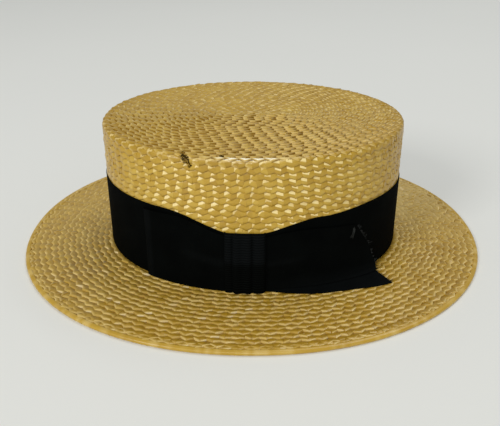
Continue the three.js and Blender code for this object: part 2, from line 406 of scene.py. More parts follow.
@dataclass(frozen=True)
class StrawFinish:
    """Split straw under old lacquer: a tone for each straw, grain along it and amber patches, with painted
    shade in its hollows and breaks and painted highlights on its edges and caps.
    """

    name: str = "lacquered_straw"
    dark: tuple[float, float, float] = (0.40, 0.23, 0.022)
    middle: tuple[float, float, float] = (0.54, 0.34, 0.038)
    pale: tuple[float, float, float] = (0.66, 0.455, 0.08)
    # The amber of old straw; at the brim's front it also serves as painted shade.
    amber: tuple[float, float, float] = (0.46, 0.27, 0.012)
    # The dark brown of the hollows is painted shade, mixed in by the number "depth".
    hollow: tuple[float, float, float] = (0.24, 0.125, 0.008)
    # The pale of the painted highlights on edges and caps, also used for the rim's pale flecks, and the
    # near-white of the brightest painted highlights.
    wear_and_highlight: tuple[float, float, float] = (0.94, 0.76, 0.34)
    white_highlight: tuple[float, float, float] = (1.0, 0.97, 0.82)
    # The near-black painted into the crack and the hole: painted shade inside the openings.
    break_shade: tuple[float, float, float] = (0.045, 0.027, 0.006)
    roughness: float = 0.38
    specular: float = 0.35
    coat: float = 0.3
    coat_roughness: float = 0.17
    bevel: float = 0.45 * MM
    grain_relief: float = 0.05 * MM
    tatter: float = 4.5 * MM
    tatters_a_metre: float = 900.0
    scar_edge: float = 2500.0
    breaks: tuple[tuple[float, float, float, float], ...] = ()

    def make(self) -> bpy.types.Material:
        """Builds the finish.

        Returns:
            The material. It reads the map "lie" and the numbers "tone", "age", "depth", "worn" and "cap";
            "depth" is painted shade, "cap" painted highlight, and "worn" painted highlight on the plait and
            pale flecks on the rim.
        """
        mixer = Mixer(self.name)
        grain = mixer.noise(mixer.lie((0.5, 9.0, 1.0)), 1.0, 4.0)
        cap = mixer.math("MAXIMUM", mixer.noted("cap"), 0.0)
        break_shade = self.scars(mixer)
        # Painted highlights: caps and pale edges are lightened towards the pale straw colour, and white at
        # the brightest.
        wear_and_highlight = self.highlights_and_wear(mixer, self.aged(mixer, grain), cap)
        # Painted shade in the breaks: their colour goes near-black, and they lose their lacquer.
        mixer.join(mixer.blend("MIX", break_shade, wear_and_highlight, self.break_shade), mixer.shader.inputs["Base Color"])
        sound = mixer.math("SUBTRACT", 1.0, break_shade)
        mixer.join(mixer.math("MULTIPLY", sound, self.coat), mixer.shader.inputs["Coat Weight"])
        mixer.join(mixer.math("MULTIPLY", sound, self.specular), mixer.shader.inputs["Specular IOR Level"])
        rough = mixer.math("ADD", mixer.math("MULTIPLY", grain, 0.2), self.roughness - 0.1)
        mixer.join(rough, mixer.shader.inputs["Roughness"])
        bevel = mixer.bump(mixer.math("MULTIPLY", cap, -1.0), 1.0, self.bevel)
        mixer.join(mixer.bump(grain, 0.25, self.grain_relief, bevel), mixer.shader.inputs["Normal"])
        mixer.set(Coat_Roughness=self.coat_roughness)
        return mixer.material

    def aged(self, mixer: Mixer, grain: bpy.types.NodeSocket) -> bpy.types.NodeSocket:
        """The colour of each straw: its tone, its grain, amber age and painted shade in the hollows.

        Args:
            mixer: the material to add to.
            grain: the grain's pattern.

        Returns:
            The colour.
        """
        patch = mixer.math("SUBTRACT", mixer.noise(mixer.place(), 28.0, 3.0), 0.5)
        shares = (mixer.noted("tone"), grain, patch)
        tone, streak, cloud = (mixer.math("MULTIPLY", share, 0.5) for share in shares)
        level = mixer.math("ADD", mixer.math("ADD", tone, streak), cloud)
        colour = mixer.ramp(level, [(0.12, self.dark), (0.5, self.middle), (0.86, self.pale)])
        # The number "age" is amber ageing, and at the brim's front it also carries painted shade.
        amber = mixer.blend("MIX", mixer.math("MULTIPLY", mixer.noted("age"), 0.8), colour, self.amber)
        # Painted shade: the number "depth" mixes in the dark hollow colour, in the hollows, over the straws'
        # bodies and along their edges.
        painted_shade = mixer.math("MULTIPLY", mixer.math("POWER", mixer.noted("depth"), 1.2), 0.92)
        return mixer.blend("MIX", painted_shade, amber, self.hollow)

    def highlights_and_wear(
        self, mixer: Mixer, colour: bpy.types.NodeSocket, cap: bpy.types.NodeSocket
    ) -> bpy.types.NodeSocket:
        """The colour with painted highlights on its pale edges and caps, near white at the brightest, and
        with the rim's pale flecks.

        Args:
            mixer: the material to add to.
            colour: the straw's colour.
            cap: how far each place lies in a cap.

        Returns:
            The colour.
        """
        bright = mixer.math("MINIMUM", mixer.math("MULTIPLY", cap, 4.0), 1.0)
        wear_and_highlight = mixer.noted("wear_and_highlight")
        pale = mixer.math("MAXIMUM", mixer.math("MULTIPLY", wear_and_highlight, 0.7), bright)
        highlights_and_wear = mixer.blend("MIX", pale, colour, self.wear_and_highlight)
        # Painted highlight: near white where the pale number passes 0.9.
        white_highlight = mixer.math("MULTIPLY", mixer.math("SUBTRACT", wear_and_highlight, 0.9), 3.0)
        return mixer.blend("MIX", mixer.math("MAXIMUM", white_highlight, 0.0), highlights_and_wear, self.white_highlight)

    def scars(self, mixer: Mixer) -> bpy.types.NodeSocket:
        """How far each place lies in a break, painted near-black as the shade inside the crack and the hole:
        ragged spots of a radius round a few points.

        Args:
            mixer: the material to add to.

        Returns:
            The share of scarred straw.
        """
        place = mixer.place()
        cloud = mixer.math("SUBTRACT", mixer.noise(place, self.tatters_a_metre, 2.0), 0.5)
        ragged = mixer.math("MULTIPLY", cloud, self.tatter)
        worst = mixer.math("ADD", 0.0, 0.0)
        for x, y, z, radius in self.breaks:
            away = mixer.node("ShaderNodeVectorMath", operation="DISTANCE")
            mixer.join(place, away.inputs[0])
            away.inputs[1].default_value = (x, y, z)
            inside = mixer.math("SUBTRACT", radius, mixer.math("ADD", away.outputs["Value"], ragged))
            spot = mixer.math("MINIMUM", mixer.math("MULTIPLY", inside, self.scar_edge), 1.0)
            worst = mixer.math("MAXIMUM", worst, spot)
        return worst


@dataclass(frozen=True)
class RibbonFinish:
    """Black grosgrain: fine ribs across the ribbon, dull with a faint cool sheen, painted into its colour
    where the light falls.
    """

    name: str
    colour: tuple[float, float, float] = (0.0016, 0.0021, 0.0020)
    # The lighter, cool colour of the painted sheen.
    lightened: tuple[float, float, float] = (0.0046, 0.0056, 0.0060)
    rib: float = 0.75
    rib_share: float = 0.35
    roughness: float = 0.8
    specular: float = 0.015

    def make(self) -> bpy.types.Material:
        """Builds the finish.

        Returns:
            The material. It reads the number "faded", the share of painted sheen, and the map "lie", which is
            in centimetres along the ribbon and across it.
        """
        mixer = Mixer(self.name)
        lie = mixer.lie((1.0, 1.0, 1.0))
        parts = mixer.node("ShaderNodeSeparateXYZ")
        mixer.join(lie, parts.inputs["Vector"])
        rib_turn = mixer.math("MULTIPLY", parts.outputs["X"], TURN * 10.0 / self.rib)
        ribs = mixer.math("ADD", mixer.math("MULTIPLY", mixer.math("SINE", rib_turn), 0.5), 0.5)
        yarn = mixer.noise(mixer.lie((6.0, 60.0, 1.0)), 1.0, 2.0)
        dust = mixer.noise(mixer.place(), 60.0, 4.0)
        ribbed = mixer.math("MULTIPLY", ribs, self.rib_share)
        level = mixer.math("ADD", ribbed, mixer.math("MULTIPLY", dust, 1.0 - self.rib_share))
        dark = tuple(part * 0.55 for part in self.colour)
        light = tuple(part * 1.9 for part in self.colour)
        fresh = mixer.ramp(level, [(0.2, dark), (0.5, self.colour), (0.85, light)])
        uneven = mixer.math("ADD", mixer.math("MULTIPLY", level, 1.2), 0.3)
        # Painted sheen: the lighter colour mixed in by the number "faded", uneven with the ribs and the
        # cloud.
        sheen_amount = mixer.math("MULTIPLY", mixer.noted("lightened"), uneven)
        mixer.join(mixer.blend("MIX", sheen_amount, fresh, self.lightened), mixer.shader.inputs["Base Color"])
        weave = mixer.bump(yarn, 0.3, 0.00006)
        mixer.join(mixer.bump(ribs, 0.6, 0.00016, weave), mixer.shader.inputs["Normal"])
        mixer.join(
            mixer.math("ADD", mixer.math("MULTIPLY", yarn, 0.12), self.roughness - 0.06),
            mixer.shader.inputs["Roughness"],
        )
        mixer.set(Specular_IOR_Level=self.specular)
        return mixer.material


@dataclass(frozen=True)
class FloorFinish:
    """The pale matt floor."""

    name: str = "pale_floor"
    colour: tuple[float, float, float] = (0.82, 0.83, 0.80)

    def make(self) -> bpy.types.Material:
        """Builds the finish.

        Returns:
            The material.
        """
        mixer = Mixer(self.name)
        cloud = mixer.noise(mixer.place(), 2.0, 2.0)
        near = tuple(part * 0.985 for part in self.colour)
        mixer.join(mixer.ramp(cloud, [(0.3, near), (0.7, self.colour)]), mixer.shader.inputs["Base Color"])
        mixer.set(Roughness=0.85, Specular_IOR_Level=0.2)
        return mixer.material


# The forms that straw and ribbon are laid on


@dataclass
class StrawSurface:
    """A surface that rounds of plait run along, kept as a table of rings.

    A place on it is a share of a turn from the middle of the hat's left side, and a distance
    across the rounds from the first ring.
    """

    rings: np.ndarray
    step: float
    folds_over: bool = False

    def __post_init__(self) -> None:
        """Works out the outward directions and the girths."""
        round_ways = np.roll(self.rings, -1, axis=1) - np.roll(self.rings, 1, axis=1)
        across_ways = np.gradient(self.rings, axis=0)
        normals = np.cross(across_ways, round_ways)
        normals /= np.maximum(np.linalg.norm(normals, axis=2, keepdims=True), 1e-12)
        self.normals = normals
        closed = np.concatenate([self.rings, self.rings[:, :1]], axis=1)
        self.girths = np.linalg.norm(np.diff(closed, axis=1), axis=2).sum(axis=1)

    @property
    def reach(self) -> float:
        """The distance from the first ring to the last one."""
        return self.step * (len(self.rings) - 1)

    def girth(self, across: np.ndarray | float) -> np.ndarray:
        """The length of the ring at a distance."""
        return np.interp(across, np.arange(len(self.girths)) * self.step, self.girths)

    def place(self, turn: np.ndarray, across: np.ndarray, out: np.ndarray) -> np.ndarray:
        """Points over the surface.

        Args:
            turn: shares of a turn.
            across: distances across the rounds.
            out: distances outwards.

        Returns:
            An array of points, one for each entry.
        """
        columns = self.rings.shape[1]
        if self.folds_over:
            turn = np.where(across < 0.0, 0.5 - turn, turn)
            across = np.abs(across)
        x = np.mod(turn, 1.0) * columns
        y = np.clip(across / self.step, 0.0, len(self.rings) - 1.000001)
        i0 = np.floor(x).astype(int) % columns
        i1 = (i0 + 1) % columns
        j0 = np.floor(y).astype(int)
        j1 = j0 + 1
        fx = (x - np.floor(x))[..., None]
        fy = (y - j0)[..., None]

        def read(table: np.ndarray) -> np.ndarray:
            """The table's values between its rings and columns.

            Args:
                table: the table, one row for each ring.

            Returns:
                The values at the places.
            """
            near = table[j0, i0] * (1 - fx) + table[j0, i1] * fx
            far = table[j1, i0] * (1 - fx) + table[j1, i1] * fx
            return near * (1 - fy) + far * fy

        return read(self.rings) + read(self.normals) * np.asarray(out)[..., None]


@dataclass
class HatBlock:
    """The sizes of the hat's straw forms, and the surfaces that they give."""

    crown_length: float = 204.0 * MM
    crown_width: float = 167.3 * MM
    crown_height: float = 88.3 * MM
    crown_lean: float = 2.0 * MM
    crown_wall: float = 2.2 * MM
    shoulder_radius: float = 2.5 * MM
    set_back: float = 0.87 * MM
    brim_reach: float = 58.3 * MM
    brim_thickness: float = 2.5 * MM
    brim_fullness: float = 2.09
    columns: int = 720
    step: float = 0.4 * MM

    @property
    def half_length(self) -> float:
        """Half of the crown's length at the foot."""
        return self.crown_length / 2.0

    @property
    def half_width(self) -> float:
        """Half of the crown's width at the foot."""
        return self.crown_width / 2.0

    def oval(self, a: float, b: float, power: float = 2.0) -> np.ndarray:
        """An oval of half-axes a and b, at even steps from the middle of the left side.

        Args:
            a: the first half-axis.
            b: the second half-axis.
            power: how full the oval is.

        Returns:
            One x and y for each step.
        """
        angle = FRONT + np.linspace(0.0, TURN, 4 * self.columns, endpoint=False)
        x = a * np.sign(np.cos(angle)) * np.abs(np.cos(angle)) ** (2.0 / power)
        y = b * np.sign(np.sin(angle)) * np.abs(np.sin(angle)) ** (2.0 / power)
        return even_steps(np.stack([x, y], axis=1), self.columns)

    def racetrack(self, half_straight: float, radius: float) -> np.ndarray:
        """Two straight sides and two round ends, at even steps from the middle of the left side.

        Args:
            half_straight: half of a straight side.
            radius: the radius of the round ends.

        Returns:
            One x and y for each step.
        """
        ends = np.linspace(-90.0, 90.0, 240) * math.pi / 180.0
        right = np.stack([half_straight + radius * np.cos(ends), radius * np.sin(ends)], axis=1)
        left = np.stack([-right[:, 0], -right[:, 1]], axis=1)
        start = np.array([[0.0, -radius]])
        return even_steps(np.vstack([start, right, left]), self.columns)

    def ring(self, flat: np.ndarray, height: float) -> np.ndarray:
        """A flat line round the crown's centre, lifted to a height."""
        return np.column_stack([flat[:, 0] + self.set_back, flat[:, 1], np.full(len(flat), height)])

    def crown_surface(self) -> StrawSurface:
        """The crown's outer surface, from the middle of the tip over the shoulder and down.

        Returns:
            The surface, read by turn and by place across.
        """
        r = self.shoulder_radius
        tip_a = self.half_length - self.crown_lean - r
        tip_b = self.half_width - self.crown_lean - r
        self.tip_reach = tip_b
        self.shoulder_reach = r * math.pi / 2.0
        total = tip_b + self.shoulder_reach + self.crown_height - r
        rings = []
        for s in np.arange(0.0, total, self.step):
            if s < tip_b:
                inner = max(s, 0.05 * MM)
                share = float(ease(np.array(inner / tip_b), 0.2, 1.0))
                track = self.racetrack(tip_a - tip_b, inner)
                oval = self.oval(tip_a - tip_b + inner, inner)
                rings.append(self.ring(track * (1 - share) + oval * share, self.crown_height))
            elif s < tip_b + self.shoulder_reach:
                bend = (s - tip_b) / r
                out = r * math.sin(bend)
                height = self.crown_height - r + r * math.cos(bend)
                rings.append(self.ring(self.oval(tip_a + out, tip_b + out), height))
            else:
                height = self.crown_height - r - (s - tip_b - self.shoulder_reach)
                lean = self.crown_lean * height / self.crown_height
                rings.append(self.ring(self.oval(self.half_length - lean, self.half_width - lean), height))
        return StrawSurface(np.array(rings), self.step, folds_over=True)

    def wall_start(self) -> float:
        """The distance from the tip's middle to the top of the wall."""
        return self.tip_reach + self.shoulder_reach

    def brim_surface(self) -> StrawSurface:
        """The brim's upper surface, from the crown's foot to the edge.

        Returns:
            The surface, read by turn and by place across.
        """
        inner = self.ring(self.oval(self.half_length, self.half_width), self.brim_thickness)
        a = self.half_length + self.brim_reach
        b = self.half_width + self.brim_reach
        edge = self.oval(a, b, self.brim_fullness)
        outer = np.column_stack([edge, np.full(len(edge), self.brim_thickness)])
        count = int(round(self.brim_reach / self.step)) + 1
        shares = np.linspace(0.0, 1.0, count)[:, None, None]
        return StrawSurface(inner * (1 - shares) + outer * shares, self.brim_reach / (count - 1))


# Plait


@dataclass(frozen=True)
class PlaitSizes:
    """The sizes of the plait, in metres."""

    pitch: float = 3.85 * MM
    tooth: float = 7.6 * MM
    tooth_height: float = 1.9 * MM
    tucked: float = 1.5 * MM
    lift: float = 0.2 * MM
    crest_at: float = 1.2 * MM
    crest_curve: float = 0.085 / MM
    valley: float = 0.45 * MM
    crossing: float = 0.05 * MM
    deepest: float = -0.8 * MM
    bottom: float = -1.25 * MM
    jitter: float = 0.16 * MM
    drift: float = 0.35
    roll: float = 0.07
    twist: float = 0.05
    uneven: float = 0.035 * MM


@dataclass(frozen=True)
class PaintedPlaitLight:
    """Painted shade and painted highlights on each part of a straw, from 0 to 1. Pairs are for rising and
    falling straws.

    edge, body and hollow paint shade and edge_highlight paints highlights. The brink is the share of a
    straw's width that counts as its edge, patchy says how much the painted edge highlights differ from straw
    to straw, and capped says how bright the painted cap highlights are.
    """

    edge: tuple[float, float] = (0.0, 0.0)
    body: float = 0.0
    hollow: float = 1.0
    edge_highlight: tuple[float, float] = (0.0, 0.0)
    capped: float = 0.0
    brink: float = 0.2
    patchy: float = 0.0


class StrawLimb:
    """One straw of a tooth, modelled once: a thin pillow, closed underneath."""

    along = np.array([-0.12, -0.07, 0.22, 0.5, 0.78, 1.07, 1.12])
    across = np.array([0.0, 0.025, 0.1, 0.3, 0.5, 0.72, 1.0])
    fold = np.array([0.0, -0.1, 0.0, 0.0, 0.0, 0.0, 0.0]) * MM

    def __init__(self, columns: Sequence[int] | None = None, rows: Sequence[int] | None = None) -> None:
        """Models the straw.

        Args:
            columns: which of the lengthwise stations to keep, or all.
            rows: which of the crosswise stations to keep, or all.
        """
        self.along = self.along[list(columns)] if columns else self.along
        self.across = self.across[list(rows)] if rows else self.across
        self.fold = self.fold[list(rows)] if rows else self.fold
        deselect()
        bpy.ops.mesh.primitive_grid_add(
            x_subdivisions=len(self.along) - 1, y_subdivisions=len(self.across) - 1, size=1.0
        )
        piece = added("straw_limb")
        bpy.ops.object.mode_set(mode="EDIT")
        bpy.ops.mesh.select_mode(type="EDGE")
        bpy.ops.mesh.select_all(action="DESELECT")
        bpy.ops.mesh.select_non_manifold()
        bpy.ops.mesh.edge_face_add()
        bpy.ops.mesh.select_all(action="SELECT")
        bpy.ops.object.mode_set(mode="OBJECT")
        points = corner_places(piece)
        self.column = np.rint((points[:, 0] + 0.5) * (len(self.along) - 1)).astype(int)
        self.row = np.rint((points[:, 1] + 0.5) * (len(self.across) - 1)).astype(int)
        self.faces = []
        for polygon in piece.data.polygons:
            corners = list(polygon.vertices)
            under = len(corners) > 4
            if under == (polygon.normal.z > 0):
                corners.reverse()
            self.faces.append(corners)
        bpy.data.objects.remove(piece)

    @property
    def edge(self) -> np.ndarray:
        """True for the corners of the outline, which are tucked down.

        Returns:
            One answer for each corner.
        """
        return (
            (self.column == 0)
            | (self.column == len(self.along) - 1)
            | (self.row == 0)
            | (self.row == len(self.across) - 1)
        )


@dataclass
class PlaitLayer:
    """Rounds of plait laid along a surface, each lapping over the next.

    The functions age, bleach and sunken read shares of a turn and places across the rounds, tuck and
    more_tucked read places across the rounds, and caps reads shares of a turn. Where sunken is less
    than 0 the straws stand out.
    """

    name: str
    surface: StrawSurface
    start: float
    rounds: float
    limb: StrawLimb
    seed: int
    face: Face = Face.OUTSIDE
    depth: float = 0.0
    teeth_a_turn: float | None = None
    sizes: PlaitSizes = field(default_factory=PlaitSizes)
    age: Callable[[np.ndarray, np.ndarray], np.ndarray] | None = None
    tuck: Callable[[np.ndarray], np.ndarray] | None = None
    # The wear settings paint shade and highlights into the straws' colour, and bleach paints pale patches: a
    # painted highlight on the crown's shoulder front, plain paling on the brim.
    painted_light: PaintedPlaitLight = PaintedPlaitLight()
    pale_patch: Callable[[np.ndarray, np.ndarray], np.ndarray] | None = None
    sunken: Callable[[np.ndarray, np.ndarray], np.ndarray] | None = None
    # caps gives how strong the painted cap highlights are round the hat.
    caps: Callable[[np.ndarray], np.ndarray] | None = None
    more_tucked: Callable[[np.ndarray], np.ndarray] | None = None
    creased: float = 1.0
    spiral: bool = True
    turned: float = 0.0
    sunken_depth: float = 0.6 * MM
    cap_bevel: float = 0.25

    # The borders of the painted cap highlights on falling and rising straws, and the turns where the falling
    # straws' shapes change over.
    falling_caps = ((1.7, 1.6), (1.1, 4.2), (2.75, -1.1))
    rising_cap = (3.3, 4.5)
    cap_turns = ((-0.03, -0.012), (0.004, 0.02))

    def march(self) -> tuple[np.ndarray, np.ndarray]:
        """Walks along the spiral from tooth to tooth.

        Returns:
            The turn count at each tooth, and the size of one tooth there as a share of a turn.
        """
        turns, steps = [], []
        turn = 0.0
        drift = np.random.default_rng(self.seed + 100).normal(0.0, self.sizes.drift, int(self.rounds) + 2)
        while turn < self.rounds:
            across = self.start + self.sizes.pitch * turn * self.spiral
            teeth = self.teeth_a_turn or float(self.surface.girth(across)) / self.sizes.tooth
            share = 1.0 / (teeth + drift[int(turn)]) if self.spiral else 1.0 / round(teeth)
            turns.append(turn)
            steps.append(share)
            turn += share
        return np.array(turns), np.array(steps)

    def zigzag(
        self, draw: np.random.Generator, turns: np.ndarray, steps: np.ndarray
    ) -> list[tuple[np.ndarray, np.ndarray, np.ndarray, np.ndarray]]:
        """The two ends of every rising and every falling straw.

        Args:
            draw: the source of the unevenness.
            turns: the turn count at each tooth.
            steps: the size of each tooth as a share of a turn.

        Returns:
            For the rising and for the falling straws, the turn and rise of the first end and of the last.
        """
        count = len(turns)
        half = self.sizes.tooth_height / 2.0
        wander = self.sizes.jitter
        tip_turn = turns + steps * draw.normal(0.0, 0.018, count)
        peak_turn = turns + steps * (0.5 + draw.normal(0.0, 0.022, count))
        tip_drop = -half + draw.normal(0.0, wander, count)
        peak_rise = half + draw.normal(0.0, wander, count)
        next_turn = np.append(tip_turn[1:], turns[-1] + steps[-1])
        next_drop = np.append(tip_drop[1:], -half)
        return [(tip_turn, tip_drop, peak_turn, peak_rise), (peak_turn, peak_rise, next_turn, next_drop)]

    def lifted(
        self,
        draw: np.random.Generator,
        side: int,
        along: np.ndarray,
        rise: np.ndarray,
        here: np.ndarray,
        across: np.ndarray,
    ) -> np.ndarray:
        """How far each corner of the straws stands off the surface.

        Args:
            draw: the source of the unevenness.
            side: 0 for rising straws, 1 for falling ones.
            along: the share of the straw's length.
            rise: the distance over the round's middle line.
            here: the share of a turn.
            across: the place across the rounds.

        Returns:
            Distances outwards.
        """
        sizes = self.sizes
        tucking = self.tuck(across) if self.tuck else 1.0
        to_peak = np.clip(along if side == 0 else 1.0 - along, 0.0, 1.1)
        dip = sizes.crest_curve * (rise - sizes.crest_at) ** 2
        dip = dip + sizes.valley * to_peak**2 * np.clip(rise / sizes.pitch, 0.0, 1.0)
        one_each = (len(rise), 1)
        roll = draw.normal(0.0, sizes.roll, one_each) * (rise - sizes.pitch / 2.0)
        twist = draw.normal(0.0, sizes.twist, one_each) * (along - 0.5) * sizes.tooth / 2.0
        lean = sizes.crossing * (1.0 - 2.0 * along)
        lift = sizes.lift + self.limb.fold[self.limb.row][None, :] + draw.normal(0.0, sizes.uneven, one_each)
        lift = np.maximum(lift + lean + roll + twist - dip * tucking, sizes.deepest)
        return lift - self.sunken_depth * self.sunken(here, across) if self.sunken else lift

    def shade_and_highlight(
        self,
        draw: np.random.Generator,
        side: int,
        along: np.ndarray,
        share: np.ndarray,
        here: np.ndarray,
        across: np.ndarray,
        lift: np.ndarray,
    ) -> tuple[np.ndarray, np.ndarray]:
        """How much painted shade and painted highlight each corner of the straws gets.

        Args:
            draw: the source of the unevenness.
            side: 0 for rising straws, 1 for falling ones.
            along: the share of the straw's length.
            share: the share of the straw's width.
            here: the share of a turn.
            across: the place across the rounds.
            lift: the distance outwards.

        Returns:
            The numbers "depth", the painted shade, and "worn", the painted highlight.
        """
        painted_light = self.painted_light
        # Painted shade: in the hollows where the straw lies deep, over the body and along the edges.
        painted_shade = painted_light.hollow * np.clip((0.1 * MM - lift) / (0.7 * MM), 0.0, 1.0)
        brink = 1.0 - ease(share, 0.02, painted_light.brink)
        depth = np.maximum(np.maximum(painted_shade, painted_light.body * (1.0 - brink)), painted_light.edge[side] * brink)
        # Painted highlights along the edges, towards the peak end where there are caps, uneven from straw to
        # straw.
        pale = painted_light.edge_highlight[side] * brink * (np.clip(1.25 - along, 0.0, 1.0) if painted_light.capped else 1.0)
        pale = pale + 0.0 * lift
        if painted_light.patchy:
            pale = pale * draw.uniform(1.0 - painted_light.patchy, 1.0 + 0.6 * painted_light.patchy, (len(lift), 1))
        # The crown's shoulder front is painted white as a highlight, with a painted shadow line along the
        # straws' free edges where creased; on the brim this only pales the straw.
        if self.pale_patch:
            white = self.pale_patch(here, across)
            crease = np.clip(white * 1.5, 0.0, 1.0) * (1.0 - ease(share, 0.04, 0.24)) * self.creased
            depth = depth * (1.0 - white) + crease
            pale = (pale * (1.0 - white) + 1.4 * white * (1.0 - brink)) * (1.0 - crease)
        return depth, pale

    def build(self) -> bpy.types.Object:
        """Lays every straw of the layer as one joined mesh.

        Returns:
            The mesh object, with its map and its numbers "tone", "age", "depth", "worn" and "cap".
        """
        sizes, limb = self.sizes, self.limb
        draw = np.random.default_rng(self.seed)
        turns, steps = self.march()
        count, corners = len(turns), len(limb.row)
        along = limb.along[limb.column][None, :]
        share = limb.across[limb.row][None, :]
        points, maps = [], []
        notes = {name: [] for name in ("tone", "age", "depth", "wear_and_highlight", "cap")}
        for side, (t0, v0, t1, v1) in enumerate(self.zigzag(draw, turns, steps)):
            turn = t0[:, None] * (1 - along) + t1[:, None] * along
            edge = v0[:, None] * (1 - along) + v1[:, None] * along
            base = self.start + sizes.pitch * turn * self.spiral + 0.0 * edge
            top = sizes.pitch + sizes.tucked + (self.more_tucked(base) if self.more_tucked else 0.0)
            rise = edge * (1 - share) + top * share
            across = base - rise * self.face.value
            here = np.mod(turn + self.turned, 1.0)
            lift = self.lifted(draw, side, along, rise, here, across)
            # Painted shade and painted highlights for each corner, and how far it lies in its painted cap
            # highlight.
            depth, wear_and_highlight = self.shade_and_highlight(draw, side, along, share, here, across, lift)
            sound = draw.uniform(0.55, 1.15, (count, 1)) * self.painted_light.capped
            cap = self.cap(side, np.mod(turn + self.turned + 0.5, 1.0) - 0.5, along, rise / MM, sound)
            out = np.where(limb.edge[None, :], sizes.bottom, lift)
            out = (self.depth + out) * self.face.value
            points.append(self.surface.place(turn + self.turned, across, out))
            run = (turn - t0[:, None]) * self.surface.girth(base[:, 0])[:, None]
            shift = draw.uniform(0.0, 50.0, (count, 2, 1))
            maps.append(np.stack([run / MM + shift[:, 0], (rise - edge) / MM + shift[:, 1]], axis=2))
            tone = draw.beta(2.2, 2.2, count)
            age = self.age(np.mod(turns + self.turned, 1.0), base[:, 0]) if self.age else np.zeros(count)
            age = np.clip(age + draw.normal(0.0, 0.06, count), 0.0, 1.0)
            tone, age = (np.repeat(value[:, None], corners, axis=1) for value in (tone, age))
            for name, value in zip(notes, (tone, age, depth, wear_and_highlight, cap)):
                notes[name].append(value)
        joined = {name: np.concatenate(values) for name, values in notes.items()}
        return self.join_up(np.concatenate(points), np.concatenate(maps), joined)

    def cap(
        self, side: int, turn: np.ndarray, along: np.ndarray, rise: np.ndarray, sound: np.ndarray
    ) -> np.ndarray:
        """How far each place lies inside the bright cap of its straw, which is a painted highlight; the same
        number sets the cap's bevel.

        Args:
            side: 0 for a rising straw, 1 for a falling one.
            turn: the share of a turn, from -0.5 to 0.5.
            along: the share of the straw's length.
            rise: millimetres over the round's middle line.
            sound: how bright each straw's cap is.

        Returns:
            Millimetres inside the cap's border, up to its bevel's width, and less than 0 outside it.
        """
        if side == 1:
            wedge, stroke, arc = (rise - first - slope * along for first, slope in self.falling_caps)
            left = 1.0 - ease(turn, *self.cap_turns[0])
            right = ease(turn, *self.cap_turns[1])
            inside = wedge * left + arc * right + stroke * (1.0 - left - right)
        else:
            first, slope = self.rising_cap
            inside = np.where(turn > 0.0, rise - first - slope * (1.0 - along), -1.0)
        strength = self.caps(turn) if self.caps else 1.0
        return np.minimum(inside, self.cap_bevel * sound * strength)

    def join_up(
        self, points: np.ndarray, maps: np.ndarray, notes: dict[str, np.ndarray]
    ) -> bpy.types.Object:
        """Joins the copies of the straw into one mesh.

        Args:
            points: one row of corners for each copy.
            maps: the UV pairs of the same corners.
            notes: the numbers of the same corners under their names.

        Returns:
            The mesh object.
        """
        copies, corners = points.shape[:2]
        faces = [face[:: self.face.value] for face in self.limb.faces]
        loops = np.concatenate([np.array(face) for face in faces])
        sizes = np.array([len(face) for face in faces])
        starts = np.concatenate([[0], np.cumsum(sizes)[:-1]])
        offsets = np.arange(copies)[:, None]
        mesh = bpy.data.meshes.new(self.name)
        mesh.vertices.add(copies * corners)
        mesh.vertices.foreach_set("co", points.astype(np.float32).ravel())
        mesh.loops.add(copies * len(loops))
        mesh.loops.foreach_set("vertex_index", (loops[None, :] + offsets * corners).astype(np.int32).ravel())
        mesh.polygons.add(copies * len(faces))
        first_loops = starts[None, :] + offsets * len(loops)
        mesh.polygons.foreach_set("loop_start", first_loops.astype(np.int32).ravel())
        mesh.update(calc_edges=True)
        piece = bpy.data.objects.new(self.name, mesh)
        bpy.context.scene.collection.objects.link(piece)
        lay_map(piece, maps.reshape(-1, 2))
        for name, values in notes.items():
            note_on_corners(piece, name, values.ravel())
        smooth(piece, 40.0)
        return piece


# Forms made of one skin


def closed_ring(
    name: str,
    section: Sequence[tuple[float, float]],
    place: Placer,
    steps: int,
    lie: Callable[[np.ndarray, np.ndarray], np.ndarray],
    notes: dict[str, Callable[[np.ndarray], np.ndarray]] | None = None,
) -> bpy.types.Object:
    """A solid ring: a grid rolled up lengthwise and crosswise, and joined along both seams.

    Args:
        name: the name of the piece.
        section: the closed outline as pairs for place, anticlockwise from the outer side.
        place: gives points from shares of a turn and the two numbers of each pair.
        steps: how many stations there are round the ring.
        lie: gives UV pairs from shares of a turn and places along the outline.
        notes: for each name, a function that gives a number from shares of a turn.

    Returns:
        The mesh object.
    """
    deselect()
    bpy.ops.mesh.primitive_grid_add(x_subdivisions=steps, y_subdivisions=len(section), size=1.0)
    piece = added(name)
    points = corner_places(piece)
    major = np.rint((points[:, 0] + 0.5) * steps)
    minor = np.rint((points[:, 1] + 0.5) * len(section)).astype(int)
    pairs = np.array([*section, section[0]], dtype=float)[minor]
    turn = major / steps
    move_points(piece, place(turn, pairs[:, 0], pairs[:, 1]))
    lay_map(piece, lie(turn, minor))
    for note, read in (notes or {}).items():
        note_on_corners(piece, note, read(turn))
    bpy.ops.object.mode_set(mode="EDIT")
    bpy.ops.mesh.select_all(action="SELECT")
    bpy.ops.mesh.remove_doubles(threshold=1e-7)
    bpy.ops.mesh.normals_make_consistent(inside=False)
    bpy.ops.object.mode_set(mode="OBJECT")
    return piece


